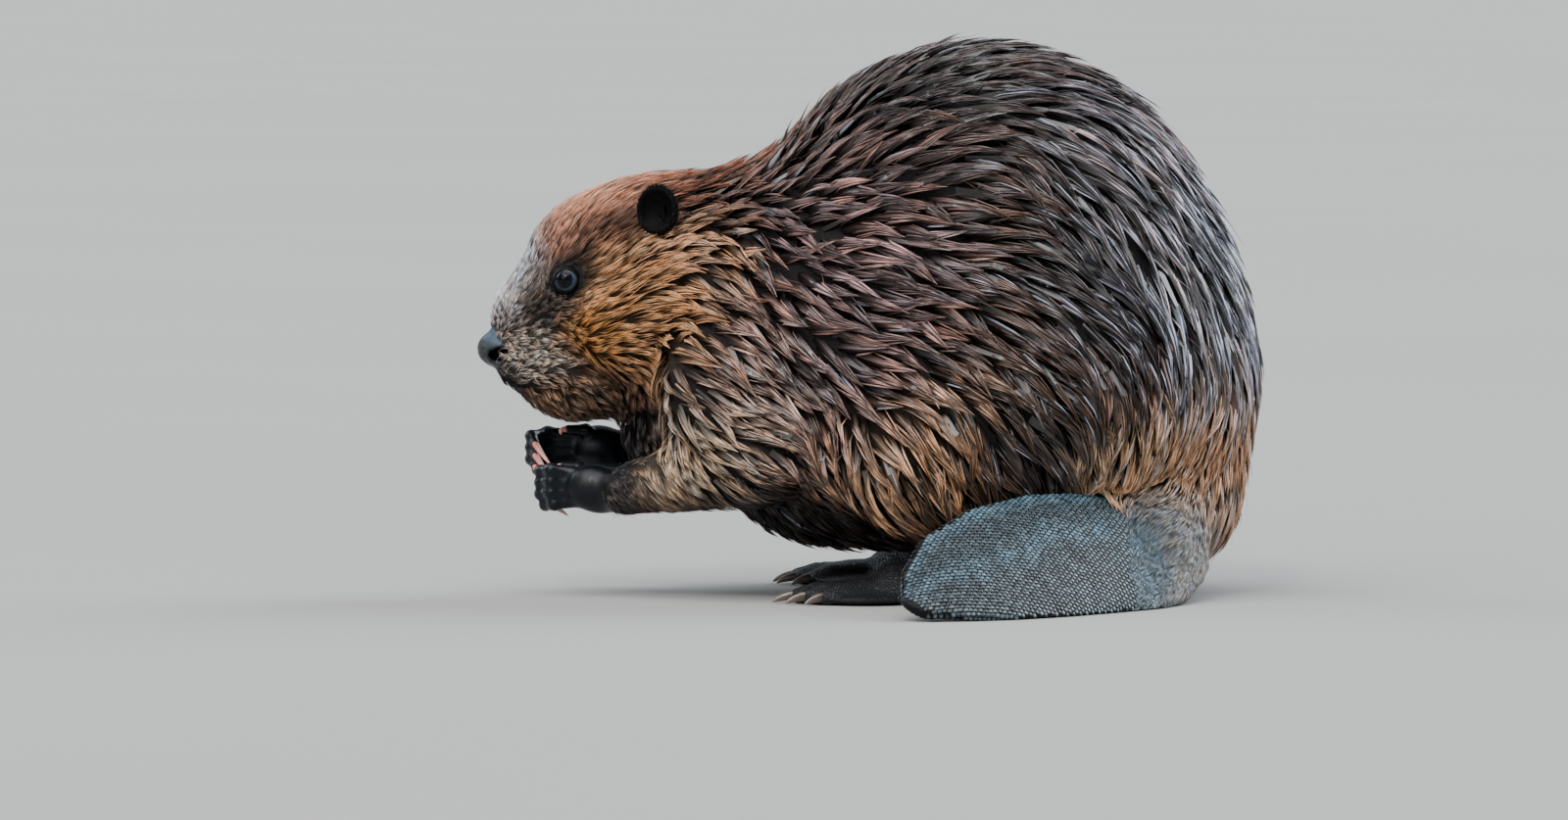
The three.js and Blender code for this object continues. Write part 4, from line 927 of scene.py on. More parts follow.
# along each lock and hair the colour runs from near black at the root to light at the tip: dark underfur and pale tips,
# and painted shade where the roots lie under the locks above
RAMP = np.array([0.06, 0.30, 0.74, 1.05, 1.25, 1.4])
RAMP_H = np.stack([np.interp(T_H, T, RAMP), (0.22, 0.8, 1.15, 1.35)])  # long hair, and the short hair of the face


def chunk_names():
    x, y, z = points.T
    names = np.full(n, "coat_flank", object)
    names[(x >= 118)] = "coat_rump"
    names[(x < 118) & (z > 246)] = "coat_back"
    names[(x < 118) & (z < 96) & (x >= -30)] = "coat_thigh"
    names[x < -30] = "coat_shoulder"
    names[(x < -30) & (z < 104)] = "coat_foreleg"
    names[(x < -98) & (z >= 104)] = "coat_head"
    names[(x < -150) & (z >= 104)] = "coat_face"
    return np.array([f"{k}_{'left' if s < 0 else 'right'}" for k, s in zip(names, y)])


def unwrap(P):
    """Where a spot of the skin lies on an unwrap of the animal's own shape: round its length, and along it."""
    x, y, z = P.T
    cx, cz = 60.0, 140.0
    r = np.hypot(y, z - cz)
    along_ = np.arctan2(x - cx, np.maximum(r, 1)) * 150
    along_ = np.where(x < -60, (x + 60) * 1.1 - 96, along_)
    cz2 = np.where(x < -60, 170.0 - (x + 60) * -0.05, cz)
    turn = np.arctan2(y, z - cz2)
    return np.stack([along_, turn * 110], 1)


def tuft_template(g, stations, crown):
    """Faces, and where each face's corners lie on the tuft's own small patch, of one closed pointed tuft: g points
    round it at each station but the last, which is its tip. The crown argument is not used."""
    faces, uvs = [], []
    v = [0.06 + 0.94 * t for t in stations]
    for j in range(len(stations) - 2):
        for i in range(g):
            p, q = g * j + i, g * j + (i + 1) % g
            faces.append((p, q, q + g, p + g))
            uvs.append(((i / g, v[j]), ((i + 1) / g, v[j]), ((i + 1) / g, v[j + 1]), (i / g, v[j + 1])))
    last, tip = g * (len(stations) - 2), g * (len(stations) - 1)
    for i in range(g):
        faces.append((last + i, last + (i + 1) % g, tip))
        uvs.append(((i / g, v[-2]), ((i + 1) / g, v[-2]), ((i + 0.5) / g, 1.0)))
    for i in range(1, g - 1):
        faces.append((0, i + 1, i))
        uvs.append(((0.0, 0.0), ((i + 1) / g, 0.05), (i / g, 0.05)))
    return faces, uvs


def build(name, verts, faces, uv=None, colour=None, smooth=True, material=None):
    """A mesh object in the row frame from verts in millimetres. faces is a list of index arrays of 3 or 4 columns, and uv one array of corners
    for each. smooth is one choice for all, or a list with one for each array of faces."""
    me = bpy.data.meshes.new(name)
    loops = np.concatenate([f.ravel() for f in faces]).astype(np.int32)
    totals = np.concatenate([np.full(len(f), f.shape[1]) for f in faces])
    starts = np.concatenate([[0], np.cumsum(totals)[:-1]]).astype(np.int32)
    me.vertices.add(len(verts))
    me.vertices.foreach_set("co", row(verts).astype(np.float32).ravel())
    me.loops.add(len(loops))
    me.loops.foreach_set("vertex_index", loops)
    me.polygons.add(len(starts))
    me.polygons.foreach_set("loop_start", starts)
    me.update(calc_edges=True)
    if smooth is True:
        me.shade_smooth()
    elif smooth:
        me.polygons.foreach_set("use_smooth", np.concatenate([np.full(len(f), x) for f, x in zip(faces, smooth)]))
    if uv is not None:
        layer = me.uv_layers.new(name="OFBake", do_init=False)
        layer.uv.foreach_set("vector", np.concatenate([u.reshape(-1, 2) for u in uv]).astype(np.float32).ravel())
    if colour is not None:
        at = me.attributes.new("tone", "FLOAT_COLOR", "POINT")
        at.data.foreach_set("color", np.concatenate([colour, np.ones((len(colour), 1))], 1).astype(np.float32).ravel())
    ob = bpy.data.objects.new(name, me)
    bpy.context.scene.collection.objects.link(ob)
    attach(ob, "root")
    if material is not None:
        me.materials.append(material)
    return ob


def tufts(rings, tips, at, spots, crown):
    """Vertices, faces and patch corners of many closed tufts: rings is (tuft, station, point, xyz), and spots their places on the unwrap."""
    q, k, g, _ = rings.shape
    verts = np.concatenate([rings.reshape(q, k * g, 3), tips[:, None]], 1)
    faces, uvs = tuft_template(g, list(at), crown)
    base = (np.arange(q) * (k * g + 1))[:, None, None]
    out_f, out_u = [], []
    for size in (3, 4):
        f = np.array([x for x in faces if len(x) == size])
        t = np.array([y for x, y in zip(faces, uvs) if len(x) == size])
        out_f.append((f[None] + base).reshape(-1, size))
        out_u.append(((t - 0.5)[None] * 0.003 + spots[:, None, None]).reshape(-1, size, 2))
    return verts, out_f, out_u


def lock_triangles(ridges, stations):
    g = 2 * ridges + 2
    return 2 * g * (stations - 2) + g + g - 2


def no_clip(c, most=0.9):
    """Colours with none over the most, each keeping its hue."""
    return c * np.minimum(1, most / np.maximum(c.max(-1, keepdims=True), 1e-6))


FEW = 24  # hair shorter than this, and all of the face, has one station less


def coat_piece(name, ids, ridges, stations, material):
    """One coat piece: the wedges of the locks ids and the hairs over them."""
    K = 2 * ridges + 1
    j = list(stations)
    at = T[j]
    all_ids, ids = ids, ids[wedged[ids]]
    c, s, up, w = line[ids][:, j], SD[ids][:, j], UP[ids][:, j], half_at[ids][:, j] * 0.62
    q = len(ids)
    across = np.linspace(-1, 1, K)[None] + np.concatenate([np.zeros((q, 1)), rng.uniform(-0.45, 0.45, (q, K - 2)) / ridges, np.zeros((q, 1))], 1)
    tall = np.zeros((q, K))
    tall[:, 1::2] = rng.uniform(0.45, 1.25, (q, ridges)) / ridges
    high = 0.16 * (1 - across**2) + tall * 0.55
    top = c[:, :-1, None] + s[:, :-1, None] * (across[:, None] * w[:, :-1, None])[..., None] + up[:, :-1, None] * (high[:, None] * w[:, :-1, None])[..., None]
    under = c[:, :-1] - up[:, :-1] * (0.35 * w[:, :-1])[..., None]
    rings = np.concatenate([top, under[:, :, None]], 2)
    spots, hair_ids = unwrap(points[ids]), np.nonzero(np.isin(lock, all_ids))[0]
    hair_spots = unwrap(root[hair_ids])
    both = np.concatenate([spots, hair_spots])
    lo, hi = both.min(0), both.max(0)
    fit = lambda v: (v - lo) / np.maximum(hi - lo, 1e-6) * 0.994 + 0.003  # noqa: E731
    v1, f1, u1 = tufts(rings, c[:, -1], at, fit(spots), K)
    # painted shade: each wedge is dark, darker in its valleys and darkest at its edges, for shaded grooves and a shaded
    # outline; on the wet back and rump darker still, for the gaps between strands
    strand = np.where(rng.random((q, K)) < 0.5, 0.20, 0.48) * rng.uniform(0.8, 1.25, (q, K))
    strand *= (1 - 0.6 * wet[ids])[:, None]
    strand[:, 0::2] = 0.14
    strand[:, [0, -1]] = 0.10
    strand = np.concatenate([strand, np.full((q, 1), 0.14)], 1)
    body = (lock_colour[ids][:, None, None] * strand[:, None, :, None] * RAMP[j][:-1][None, :, None, None]).reshape(q, (len(j) - 1) * (K + 1), 3)
    col1 = np.concatenate([body, (lock_colour[ids] * RAMP[-1])[:, None]], 1)

    parts_ = [(v1.reshape(-1, 3), f1, u1, col1.reshape(-1, 3), False)]
    few = (num[lock[hair_ids], 0] < FEW) | ("face" in name)
    for i, some in (([0, 2, 3], few), ([0, 1, 2, 3], ~few)):
        if not some.any():
            continue
        h, places = hair_ids[some], fit(hair_spots[some])
        c, s, up = P[h][:, i], SDh[h][:, i], UPh[h][:, i]
        w = width[h][:, None] * WIDE[i][None]
        ring = np.stack([c - s * (w / 2)[..., None] - up * (w * 0.16)[..., None], c + up * (w * 0.4)[..., None], c + s * (w / 2)[..., None] - up * (w * 0.16)[..., None]], 2)[:, :-1]
        v2, f2, u2 = tufts(ring, c[:, -1], T_H[i], places, 3)
        k = long_[lock[h]][:, None]
        soft = stemmed[lock[h]][:, None]
        ends = ((RAMP_H[0] * k + RAMP_H[1] * (1 - k)) * (1 - soft) + np.array([0.6, 0.95, 1.08, 1.15])[None] * soft)[:, i]
        merge = MERGE[i][None] * k * (1 - 0.85 * wet[lock[h]])[:, None]
        tint = (colour[h][:, None] * (1 - merge)[..., None] + lock_colour[lock[h]][:, None] * merge[..., None]) * ends[..., None]
        parts_.append((v2.reshape(-1, 3), f2, u2, np.concatenate([np.repeat(tint[:, :-1], 3, axis=1), tint[:, -1:]], 1).reshape(-1, 3), True))
    faces, uvs, flags, n0 = [], [], [], 0
    for v, f, u, _, flag in parts_:
        faces += [x + n0 for x in f]
        uvs += u
        flags += [flag] * len(f)
        n0 += len(v)
    ob = build(name, np.concatenate([x[0] for x in parts_]), faces, uvs, no_clip(np.concatenate([x[3] for x in parts_])), flags, material)
    return len(hair_ids), sum(len(f) * (f.shape[1] - 2) for f in faces)


# ------------------------------------------------------------------ materials
def shader(name, roughness, specular=0.5, coat=0.0, coat_roughness=0.1):
    """A Principled material whose plain numbers sit on the shader's own sockets."""
    m = bpy.data.materials.new(name)
    m.use_nodes = True
    tree = m.node_tree
    out = tree.nodes["Principled BSDF"]
    out.inputs["Roughness"].default_value = roughness
    out.inputs["Specular IOR Level"].default_value = specular
    out.inputs["Coat Weight"].default_value = coat
    out.inputs["Coat Roughness"].default_value = coat_roughness
    return m, tree, out


def node(tree, kind, inputs=(), **props):
    made = tree.nodes.new(kind)
    for k, v in props.items():
        setattr(made, k, v)
    for k, v in dict(inputs).items():
        if isinstance(v, bpy.types.NodeSocket):
            tree.links.new(v, made.inputs[k])
        else:
            made.inputs[k].default_value = v
    return made


def place_of(tree, scale=(1, 1, 1)):
    at = node(tree, "ShaderNodeTexCoord")
    return node(tree, "ShaderNodeMapping", {"Vector": at.outputs["Object"], "Scale": scale}).outputs["Vector"]


def noise(tree, at, scale, detail=3.0, rough=0.55):
    return node(tree, "ShaderNodeTexNoise", {"Vector": at, "Scale": scale, "Detail": detail, "Roughness": rough}).outputs["Fac"]


def ramp(tree, fac, *stops):
    r = node(tree, "ShaderNodeValToRGB", {"Fac": fac})
    e = r.color_ramp.elements
    while len(e) < len(stops):
        e.new(0.5)
    for i, (at, c) in enumerate(stops):
        e[i].position = at
        e[i].color = (*c, 1) if len(c) == 3 else c
    return r.outputs["Color"]


def times(tree, a, b, fac=1.0):
    x = node(tree, "ShaderNodeMix", data_type="RGBA", blend_type="MULTIPLY")
    x.inputs[0].default_value = fac
    tree.links.new(a, x.inputs[6])
    tree.links.new(b, x.inputs[7])
    return x.outputs[2]


def bump(tree, height, strength, distance):
    return node(tree, "ShaderNodeBump", {"Height": height, "Strength": strength, "Distance": distance}).outputs["Normal"]


def hair_material(name, roughness, coat, specular=0.45):
    m, t, out = shader(name, roughness, specular, coat, 0.25)
    tint = node(t, "ShaderNodeAttribute", attribute_name="tone").outputs["Color"]
    at = place_of(t)
    patchy = ramp(t, noise(t, at, 34, 4), (0.3, (0.78, 0.76, 0.76)), (0.7, (1.2, 1.2, 1.22)))
    fine = ramp(t, noise(t, at, 700, 2), (0.25, (0.86, 0.86, 0.86)), (0.75, (1.14, 1.14, 1.14)))
    t.links.new(times(t, times(t, tint, patchy), fine), out.inputs["Base Color"])
    t.links.new(bump(t, noise(t, at, 1800, 2), 0.3, 0.0001), out.inputs["Normal"])
    return m


def under_material():
    m, t, out = shader("under_fur", 0.75, 0.25)
    tint = node(t, "ShaderNodeAttribute", attribute_name="tone").outputs["Color"]
    at = place_of(t, (1, 1, 1))
    streak = noise(t, at, 700, 3)
    t.links.new(times(t, tint, ramp(t, streak, (0.3, (0.5, 0.5, 0.5)), (0.7, (1.3, 1.3, 1.3)))), out.inputs["Base Color"])
    t.links.new(bump(t, streak, 0.8, 0.0006), out.inputs["Normal"])
    return m


def wet_skin(name, grain, roughness, coat, depth, distance, specular=0.5, dark=0.7, round_=0.22):
    """Bare skin: its colour is the skin's own tone, with folds and grain from noise and cells, and painted shade
    darkening it in the creases.
    """
    m, t, out = shader(name, roughness, specular, coat, 0.12)
    tint = node(t, "ShaderNodeAttribute", attribute_name="tone").outputs["Color"]
    at = place_of(t)
    cells = node(t, "ShaderNodeTexVoronoi", {"Vector": at, "Scale": grain}, feature="DISTANCE_TO_EDGE").outputs["Distance"]
    big = noise(t, at, grain * 0.12, 4)
    # painted shade in the creases: darker along the edges of the cells
    crease = ramp(t, cells, (0.0, (0.35, 0.35, 0.35)), (round_ * 0.4, (0.75, 0.75, 0.75)), (round_, (1, 1, 1)))
    t.links.new(times(t, times(t, tint, ramp(t, big, (0.3, (0.6, 0.6, 0.6)), (0.75, (1.5, 1.5, 1.5)))), crease, dark), out.inputs["Base Color"])
    first = node(t, "ShaderNodeBump", {"Height": crease, "Strength": depth, "Distance": distance}).outputs["Normal"]
    t.links.new(node(t, "ShaderNodeBump", {"Height": big, "Strength": 0.5, "Distance": distance * 3, "Normal": first}).outputs["Normal"], out.inputs["Normal"])
    return m


COAT = hair_material("guard_hair", 0.30, 0.30, 0.5)
FACE = hair_material("face_hair", 0.42, 0.05, 0.4)
EAR_HAIR = hair_material("ear_hair", 0.6, 0.0, 0.12)
UNDER = under_material()
PAW = wet_skin("paw_skin", 1400, 0.22, 0.0, 0.3, 0.0002, 0.24, 0.35, 0.4)
FOOT_SKIN = wet_skin("foot_skin", 700, 0.36, 0.0, 0.8, 0.0006, 0.26, 0.6, 0.3)
NOSE_SKIN = wet_skin("nose_skin", 950, 0.22, 0.0, 0.7, 0.0006, 0.30, 0.6, 0.45)
EAR_SKIN = wet_skin("ear_skin", 700, 0.55, 0.0, 0.3, 0.0002, 0.06)
TAIL_SKIN = wet_skin("tail_skin", 500, 0.45, 0.0, 0.4, 0.0003, 0.15)
LID_SKIN = wet_skin("lid_skin", 1500, 0.45, 0.0, 0.5, 0.0002, 0.14)

# ------------------------------------------------------------------ the skin as one piece
BARE = dict(hand=(0.0040, 0.0056, 0.0085), foot=(0.0100, 0.0102, 0.0120), tail=(0.0026, 0.0034, 0.0040), nose=(0.022, 0.026, 0.034), ear=(0.0026, 0.0022, 0.0022), eye=(0.0022, 0.0020, 0.0022), mouth=(0.004, 0.0035, 0.0035))
near_v = parts_of(skin_v)
# the skin under the fur is the hair's colour darkened to near black: dark underfur, and painted shade in the gaps
# between the locks
skin_tone = tone(skin_v) * (0.025 + 0.07 * blob(skin_v, (-176, 0, 172), (40, 60, 60)) + 0.05 * blob(skin_v, (-116, -52, 72), (26, 30, 22)) + 0.22 * blob(skin_v, (181, -98, 27), (46, 80, 38), 0.5, False))[:, None]
for part, d_, out_, in_ in (
    ("tail", np.maximum(near_v["tail"], stem(skin_v)), 2.5, 0.4),
    ("foot", near_v["foot"], 2.5, 0.4),
    ("hand", near_v["hand"], 3.0, 0.4),
    ("nose", nose_part(skin_v), 2.0, -0.6),
    ("ear", near_v["ear"], 3.5, 1.0),
    ("eye", eye_part(skin_v), 5.0, 1.5),
    ("mouth", mouth_part(skin_v), 1.5, 0.2),
):
    w_ = step(out_, in_, d_)[:, None]
    skin_tone = skin_tone * (1 - w_) + np.array(BARE[part]) * w_
# the nose pad is painted blue-grey on top as painted sheen from above, darker in front, and black round the nostrils
# and below them as painted shade
pad_ = step(1.2, -0.4, nose_part(skin_v))
q_ = skin_v * (1, 1, 1)
q_[:, 1] = np.abs(q_[:, 1])
nostril_shade_ = 1 - step(3.8, 7.5, np.linalg.norm((q_ - (-210.8, 13.4, 137.6)) * (1, 0.8, 1.2), axis=1))
top_ = step(139.5, 146.5, skin_v[:, 2] + 0.35 * (skin_v[:, 0] + 214))
shaded_low_ = step(134.5, 127.5, skin_v[:, 2])
pad_tone = np.array([0.007, 0.010, 0.012]) + np.array([0.058, 0.096, 0.136]) * top_[:, None]
pad_tone = pad_tone * (1 - 0.90 * nostril_shade_[:, None]) * (1 - 0.80 * shaded_low_[:, None])
skin_tone = skin_tone * (1 - pad_[:, None]) + pad_tone * pad_[:, None]
skin = build("skin", skin_v, [skin_q], None, skin_tone, True, UNDER)
for extra in (PAW, NOSE_SKIN, EAR_SKIN, TAIL_SKIN, LID_SKIN, FOOT_SKIN):
    skin.data.materials.append(extra)
which = np.zeros(len(skin_q), np.int32)
bare_gap = 1.0
which[(near["hand"] < 2.4) & (fur_d > 0.4)] = 1
which[(near["hand"] < bare_gap) & (near["hand"] < fur_d)] = 1
which[(near["foot"] < 2.0) & (near["foot"] < fur_d + 0.5)] = 6
which[(near["tail"] < bare_gap) & (near["tail"] < fur_d + 0.5) & (stem(mid) < 1.0)] = 4
which[nose_zone < 0.6] = 2
which[near["ear"] < 1.6] = 3
which[eye_part(mid) < 1.0] = 5
skin.data.polygons.foreach_set("material_index", which)
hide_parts(*[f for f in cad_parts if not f.startswith(("eye", "claw"))])

# ------------------------------------------------------------------ the coat
chunks = chunk_names()
wedged = (closing > 0.80) & (num[:, 0] > 21)  # short smooth fur is hairs alone
LIMIT = 185000
for name in sorted(set(chunks)):
    ids = np.nonzero(chunks == name)[0]
    face_like = name.startswith(("coat_head", "coat_face"))
    ridges, stations = (2, (0, 2, 4, 5)) if face_like else (1, (0, 2, 4, 5))
    few = (num[ids, 0] < FEW) | ("face" in name)
    parts = math.ceil((wedged[ids].sum() * lock_triangles(ridges, len(stations)) + (count[ids] * np.where(few, 10, 16)).sum()) / LIMIT)
    ids = ids[np.argsort(points[ids, 0] + points[ids, 2] * 0.3, kind="stable")]
    for i, some in enumerate(np.array_split(ids, parts)):
        h_, t_ = coat_piece(name if parts == 1 else f"{name}_{i + 1}", some, ridges, stations, FACE if face_like else COAT)
        print(name, len(some), "locks", h_, "hairs", t_, "triangles")


# ------------------------------------------------------------------ fine loose hairs that stand off the outline
def strays():
    s_rng = np.random.default_rng(5)
    head_ = points[:, 0] < -70
    top_ = (points[:, 2] > 215) | ((points[:, 0] > 150) & (points[:, 2] > 120))
    w = np.where(head_ & (eye_part(points) > 4), 2.6 / (1 + num[:, 1]), np.where(top_, 1.0, 0.25)) * (points[:, 2] > 30) * np.clip((blade(points) - 8) / 24, 0, 1) * (np.minimum(ear_shell(points, -1), ear_shell(points, 1)) > 5)
    q = 1700
    pick = s_rng.choice(n, q, p=w / w.sum())
    small = head_[pick]
    length = np.where(small, s_rng.uniform(4.5, 10.0, q), s_rng.uniform(14, 30, q)) * np.where(points[pick, 0] < -185, 0.7, 1.0)
    stand = np.radians(np.where(small, s_rng.uniform(14, 44, q), s_rng.uniform(8, 24, q)))
    nn, way_ = N[pick, 0], tang[pick, 0]
    way_ = unit(turned(way_, nn, s_rng.normal(0, 0.30, q)))
    start = points[pick] + nn * (depth[pick, 0] * 0.35)[:, None] + side[pick, 0] * s_rng.uniform(-1, 1, (q, 1)) * half[pick][:, None]
    t = T_S[None, :, None]
    go = way_ * np.cos(stand)[:, None] + nn * np.sin(stand)[:, None]
    c = start[:, None] + go[:, None] * length[:, None, None] * t - nn[:, None] * (length * 0.12)[:, None, None] * t**2
    tg = unit(np.gradient(c, axis=1))
    sd = unit(np.cross(tg, nn[:, None]))
    up = unit(np.cross(sd, tg))
    w2 = (np.where(small, 0.20, 0.30) * s_rng.uniform(0.7, 1.1, q))[:, None, None] * WIDE_S[None, :, None]
    ring = np.stack([c - sd * w2 / 2 - up * w2 * 0.2, c + up * w2 * 0.4, c + sd * w2 / 2 - up * w2 * 0.2], 2)[:, :-1]
    spots = unwrap(start)
    spots = (spots - spots.min(0)) / np.ptp(spots, axis=0) * 0.994 + 0.003
    v, f, uv = tufts(ring, c[:, -1], T_S, spots, 3)
    base = tone(points[pick]) * s_rng.uniform(0.5, 1.6, (q, 1)) + np.where(small, 0.05, 0.0)[:, None]
    col = base[:, None] * np.append(np.repeat([0.5, 1.0], 3), 1.4)[None, :, None]
    ob = build("coat_loose", v.reshape(-1, 3), f, uv, np.clip(col, 0, 1).reshape(-1, 3), True, FACE)


strays()


# ------------------------------------------------------------------ scales of the tail
def tail_scales():
    seg = np.linalg.norm(np.diff(BLADE_LINE, axis=0), axis=1)
    cum = np.concatenate([[0], np.cumsum(seg)])
    places, aheads, shares = [], [], []
    pitch = 2.85
    rims = []
    for r, s in enumerate(np.arange(-12.0, cum[-1] + 6, pitch)):
        i = min(max(int(np.searchsorted(cum, s, side="right") - 1), 0), 6)
        t = (s - cum[i]) / seg[i]
        mix = lambda a: a[i] + (a[i + 1] - a[i]) * t  # noqa: E731
        c, half, thick = mix(BLADE_LINE), mix(BLADE_HALF), mix(BLADE_THICK)
        ac, fc, ah = unit(mix(_across)), unit(mix(_face)), unit(mix(_ahead))
        half = max(half, 5.0)
        gap = pitch * 1.06
        n_side = int(half / gap) + 1
        for f in (-1, 1):
            for j in range(-n_side, n_side + 1):
                u = (j + 0.5 * (r % 2)) * gap
                if abs(u) < half * 1.0:
                    places.append(c + ac * u + fc * f * max(thick, 3) * 0.9)
                    aheads.append(ah)
                    shares.append((-u / half, s))
        rims += [(c + ac * half * f * k_, ah, (-f * k_, s)) for f in (-1, 1) for k_ in (1.0, 0.93)]
    places, aheads, shares = (a + [x[i] for x in rims] for i, a in enumerate((places, aheads, shares)))
    p = np.array(places)
    p = p + rng.normal(0, 0.16, p.shape)
    for _ in range(4):
        p, up = onto(p, blade)
    for _ in range(2):
        p, up = onto(p, skin_field)
    ah = np.array(aheads)
    ah = unit(ah - up * (ah * up).sum(1, keepdims=True))
    keep_ = (furred(p) > -0.4) & (blade(p) < 1.6) & (stem(p) < 1.5 + 12 * step(11, 4, p[:, 2])) & (p[:, 2] > 0.35) & (p[:, 1] < -56)
    ids_ = np.nonzero(keep_)[0]
    keep_ = ids_[scatter(p[ids_], np.full(len(ids_), pitch * 0.62), 10**6)]
    p, up, ah = p[keep_], up[keep_], ah[keep_]
    v_, s_at = np.array(shares)[keep_].T  # -1 at the lower edge to 1 at the upper one, and the way along the blade
    ri = np.cross(ah, up)
    q = len(p)
    grow = rng.uniform(0.92, 1.1, q)
    ang = np.radians(30 + 60 * np.arange(6))
    rad = pitch * 0.60
    rows_, levels = [], []
    for share, lift_ in ((1.0, -0.35), (0.90, 0.06), (0.55, 0.36)):
        x, y = np.cos(ang) * rad * share, np.sin(ang) * rad * 1.08 * share
        h = lift_ + 0.10 * y / rad * (share > 0.9)
        rows_.append(p[:, None] + ri[:, None] * (x[None] * grow[:, None])[..., None] + ah[:, None] * (y[None] * grow[:, None])[..., None] + up[:, None] * (h[None] + np.zeros((q, 1)))[..., None])
    top = p[:, None] + up[:, None] * 0.44
    v = np.concatenate([*rows_, top], 1)
    tri, quad = [], []
    for i in range(6):
        j = (i + 1) % 6
        quad += [(i, j, j + 6, i + 6), (i + 6, j + 6, j + 12, i + 12)]
        tri.append((i + 12, j + 12, 18))
    quad += [(3, 2, 1, 0), (5, 4, 3, 0)]
    base = (np.arange(q) * 19)[:, None, None]
    if np.dot(np.cross(rows_[0][0, 1] - rows_[0][0, 0], rows_[0][0, 2] - rows_[0][0, 1]), up[0]) < 0:
        tri, quad = [x[::-1] for x in tri], [x[::-1] for x in quad]
    faces = [(np.array(tri)[None] + base).reshape(-1, 3), (np.array(quad)[None] + base).reshape(-1, 4)]
    slate = np.array([0.024, 0.049, 0.064])
    # painted reflection: broad bands along the blade, a pale rim, a darker one, a pale one down its middle and a black
    # one below it, for the bright sky and the dark surroundings mirrored in the curved blade
    sway = v_ + 0.12 * np.sin(s_at * 0.045) + 0.06 * np.sin(s_at * 0.13 + 1.0)
    level_ = 0.07 + 0.36 * step(-0.1, 0.4, sway) + 1.7 * np.exp(-(((sway - 0.14) / 0.17) ** 2)) + 1.6 * step(0.66, 0.88, v_)
    # a painted highlight on the blade by its root
    level_ += 1.4 * blob(p, (152, -96, 44), (16, 22, 26), 0.7, False)
    level_ = (level_ * np.clip(1 + 0.22 * np.sin(s_at * 0.31 + 3 * v_), 0.5, 1.5))[:, None]
    tint_ = slate[None] * level_ * np.clip(1 + 0.34 * rng.standard_normal((q, 1)), 0.3, 2.0) * (1 + np.array([[0.05, 0.0, -0.05]]) * rng.standard_normal((q, 1)))
    edge_ = np.maximum(step(-13, -1, stem(p)), step(7, 0, furred(p)))[:, None]
    tint_ = tint_ * (1 - 0.8 * edge_) + np.array([0.055, 0.095, 0.115]) * 0.8 * edge_
    # painted shade and highlight on each scale: near black at its foot, light on its dome and a painted glint at its
    # top, the glint stronger on the lower half of the blade
    level = np.array([0.03] * 6 + [0.20] * 6 + [1.0] * 6 + [1.45])
    dot = np.array([0.0] * 6 + [0.0] * 6 + [0.25] * 6 + [1.0])
    glint = np.array([0.12, 0.175, 0.20]) * rng.uniform(0.1, 1.0, (q, 1)) * (1 - 0.85 * edge_) * (1 + 0.9 * step(0.1, -0.3, sway))[:, None]
    col = (tint_[:, None] * level[None, :, None] + glint[:, None] * dot[None, :, None]).reshape(-1, 3)
    m_, t_, out_ = shader("tail_scale", 0.30, 0.32, 0.08, 0.12)
    tint = node(t_, "ShaderNodeAttribute", attribute_name="tone").outputs["Color"]
    at_ = place_of(t_)
    t_.links.new(times(t_, tint, ramp(t_, noise(t_, at_, 60, 4), (0.3, (0.6, 0.6, 0.62)), (0.7, (1.25, 1.25, 1.25)))), out_.inputs["Base Color"])
    t_.links.new(bump(t_, noise(t_, at_, 1600, 3), 0.4, 0.0002), out_.inputs["Normal"])
    ob = build("tail_scales", v.reshape(-1, 3), faces, None, col, True, m_)
    print("scales", q)
    return ob


tail_scales()


# ------------------------------------------------------------------ claws
def horn(start, aim, length, radius, bend_, curl, sides=12, rings=12, flat=0.8):
    """Vertices and faces of one smooth curved claw."""
    aim = unit(aim)
    a0, a1 = np.array(start, float), np.array(start, float) + aim * 0.6 * length
    a2 = np.array(start, float) + aim * length * (1 - 0.35 * curl) + unit(bend_) * length * curl
    t = np.linspace(0, 0.985, rings)
    c = ((1 - t) ** 2)[:, None] * a0 + (2 * t * (1 - t))[:, None] * a1 + (t**2)[:, None] * a2
    d = unit(np.gradient(c, axis=0))
    u = unit(unit(bend_) - d * (d @ unit(bend_))[:, None])
    w = np.cross(d, u)
    r = radius * (1 - t) ** 0.55
    ang = np.arange(sides) * 2 * math.pi / sides
    ring = c[:, None] + (u[:, None] * np.cos(ang)[None, :, None]) * r[:, None, None] + (w[:, None] * np.sin(ang)[None, :, None] * flat) * r[:, None, None]
    v = np.concatenate([ring.reshape(-1, 3), a0[None], a2[None] * 0.9 + c[-1][None] * 0.1])
    quad, tri = [], []
    for i in range(rings - 1):
        for j in range(sides):
            k_ = (j + 1) % sides
            quad.append((i * sides + j, i * sides + k_, (i + 1) * sides + k_, (i + 1) * sides + j))
    n0, n1 = rings * sides, rings * sides + 1
    for j in range(sides):
        k_ = (j + 1) % sides
        tri.append((n0, k_, j))
        tri.append((n1, (rings - 1) * sides + j, (rings - 1) * sides + k_))
    # face outwards
    nrm = np.cross(v[quad[0][1]] - v[quad[0][0]], v[quad[0][2]] - v[quad[0][0]])
    if nrm @ (v[quad[0][0]] - c[0]) < 0:
        quad, tri = [x[::-1] for x in quad], [x[::-1] for x in tri]
    return v, np.array(tri), np.array(quad), np.repeat(t, sides)


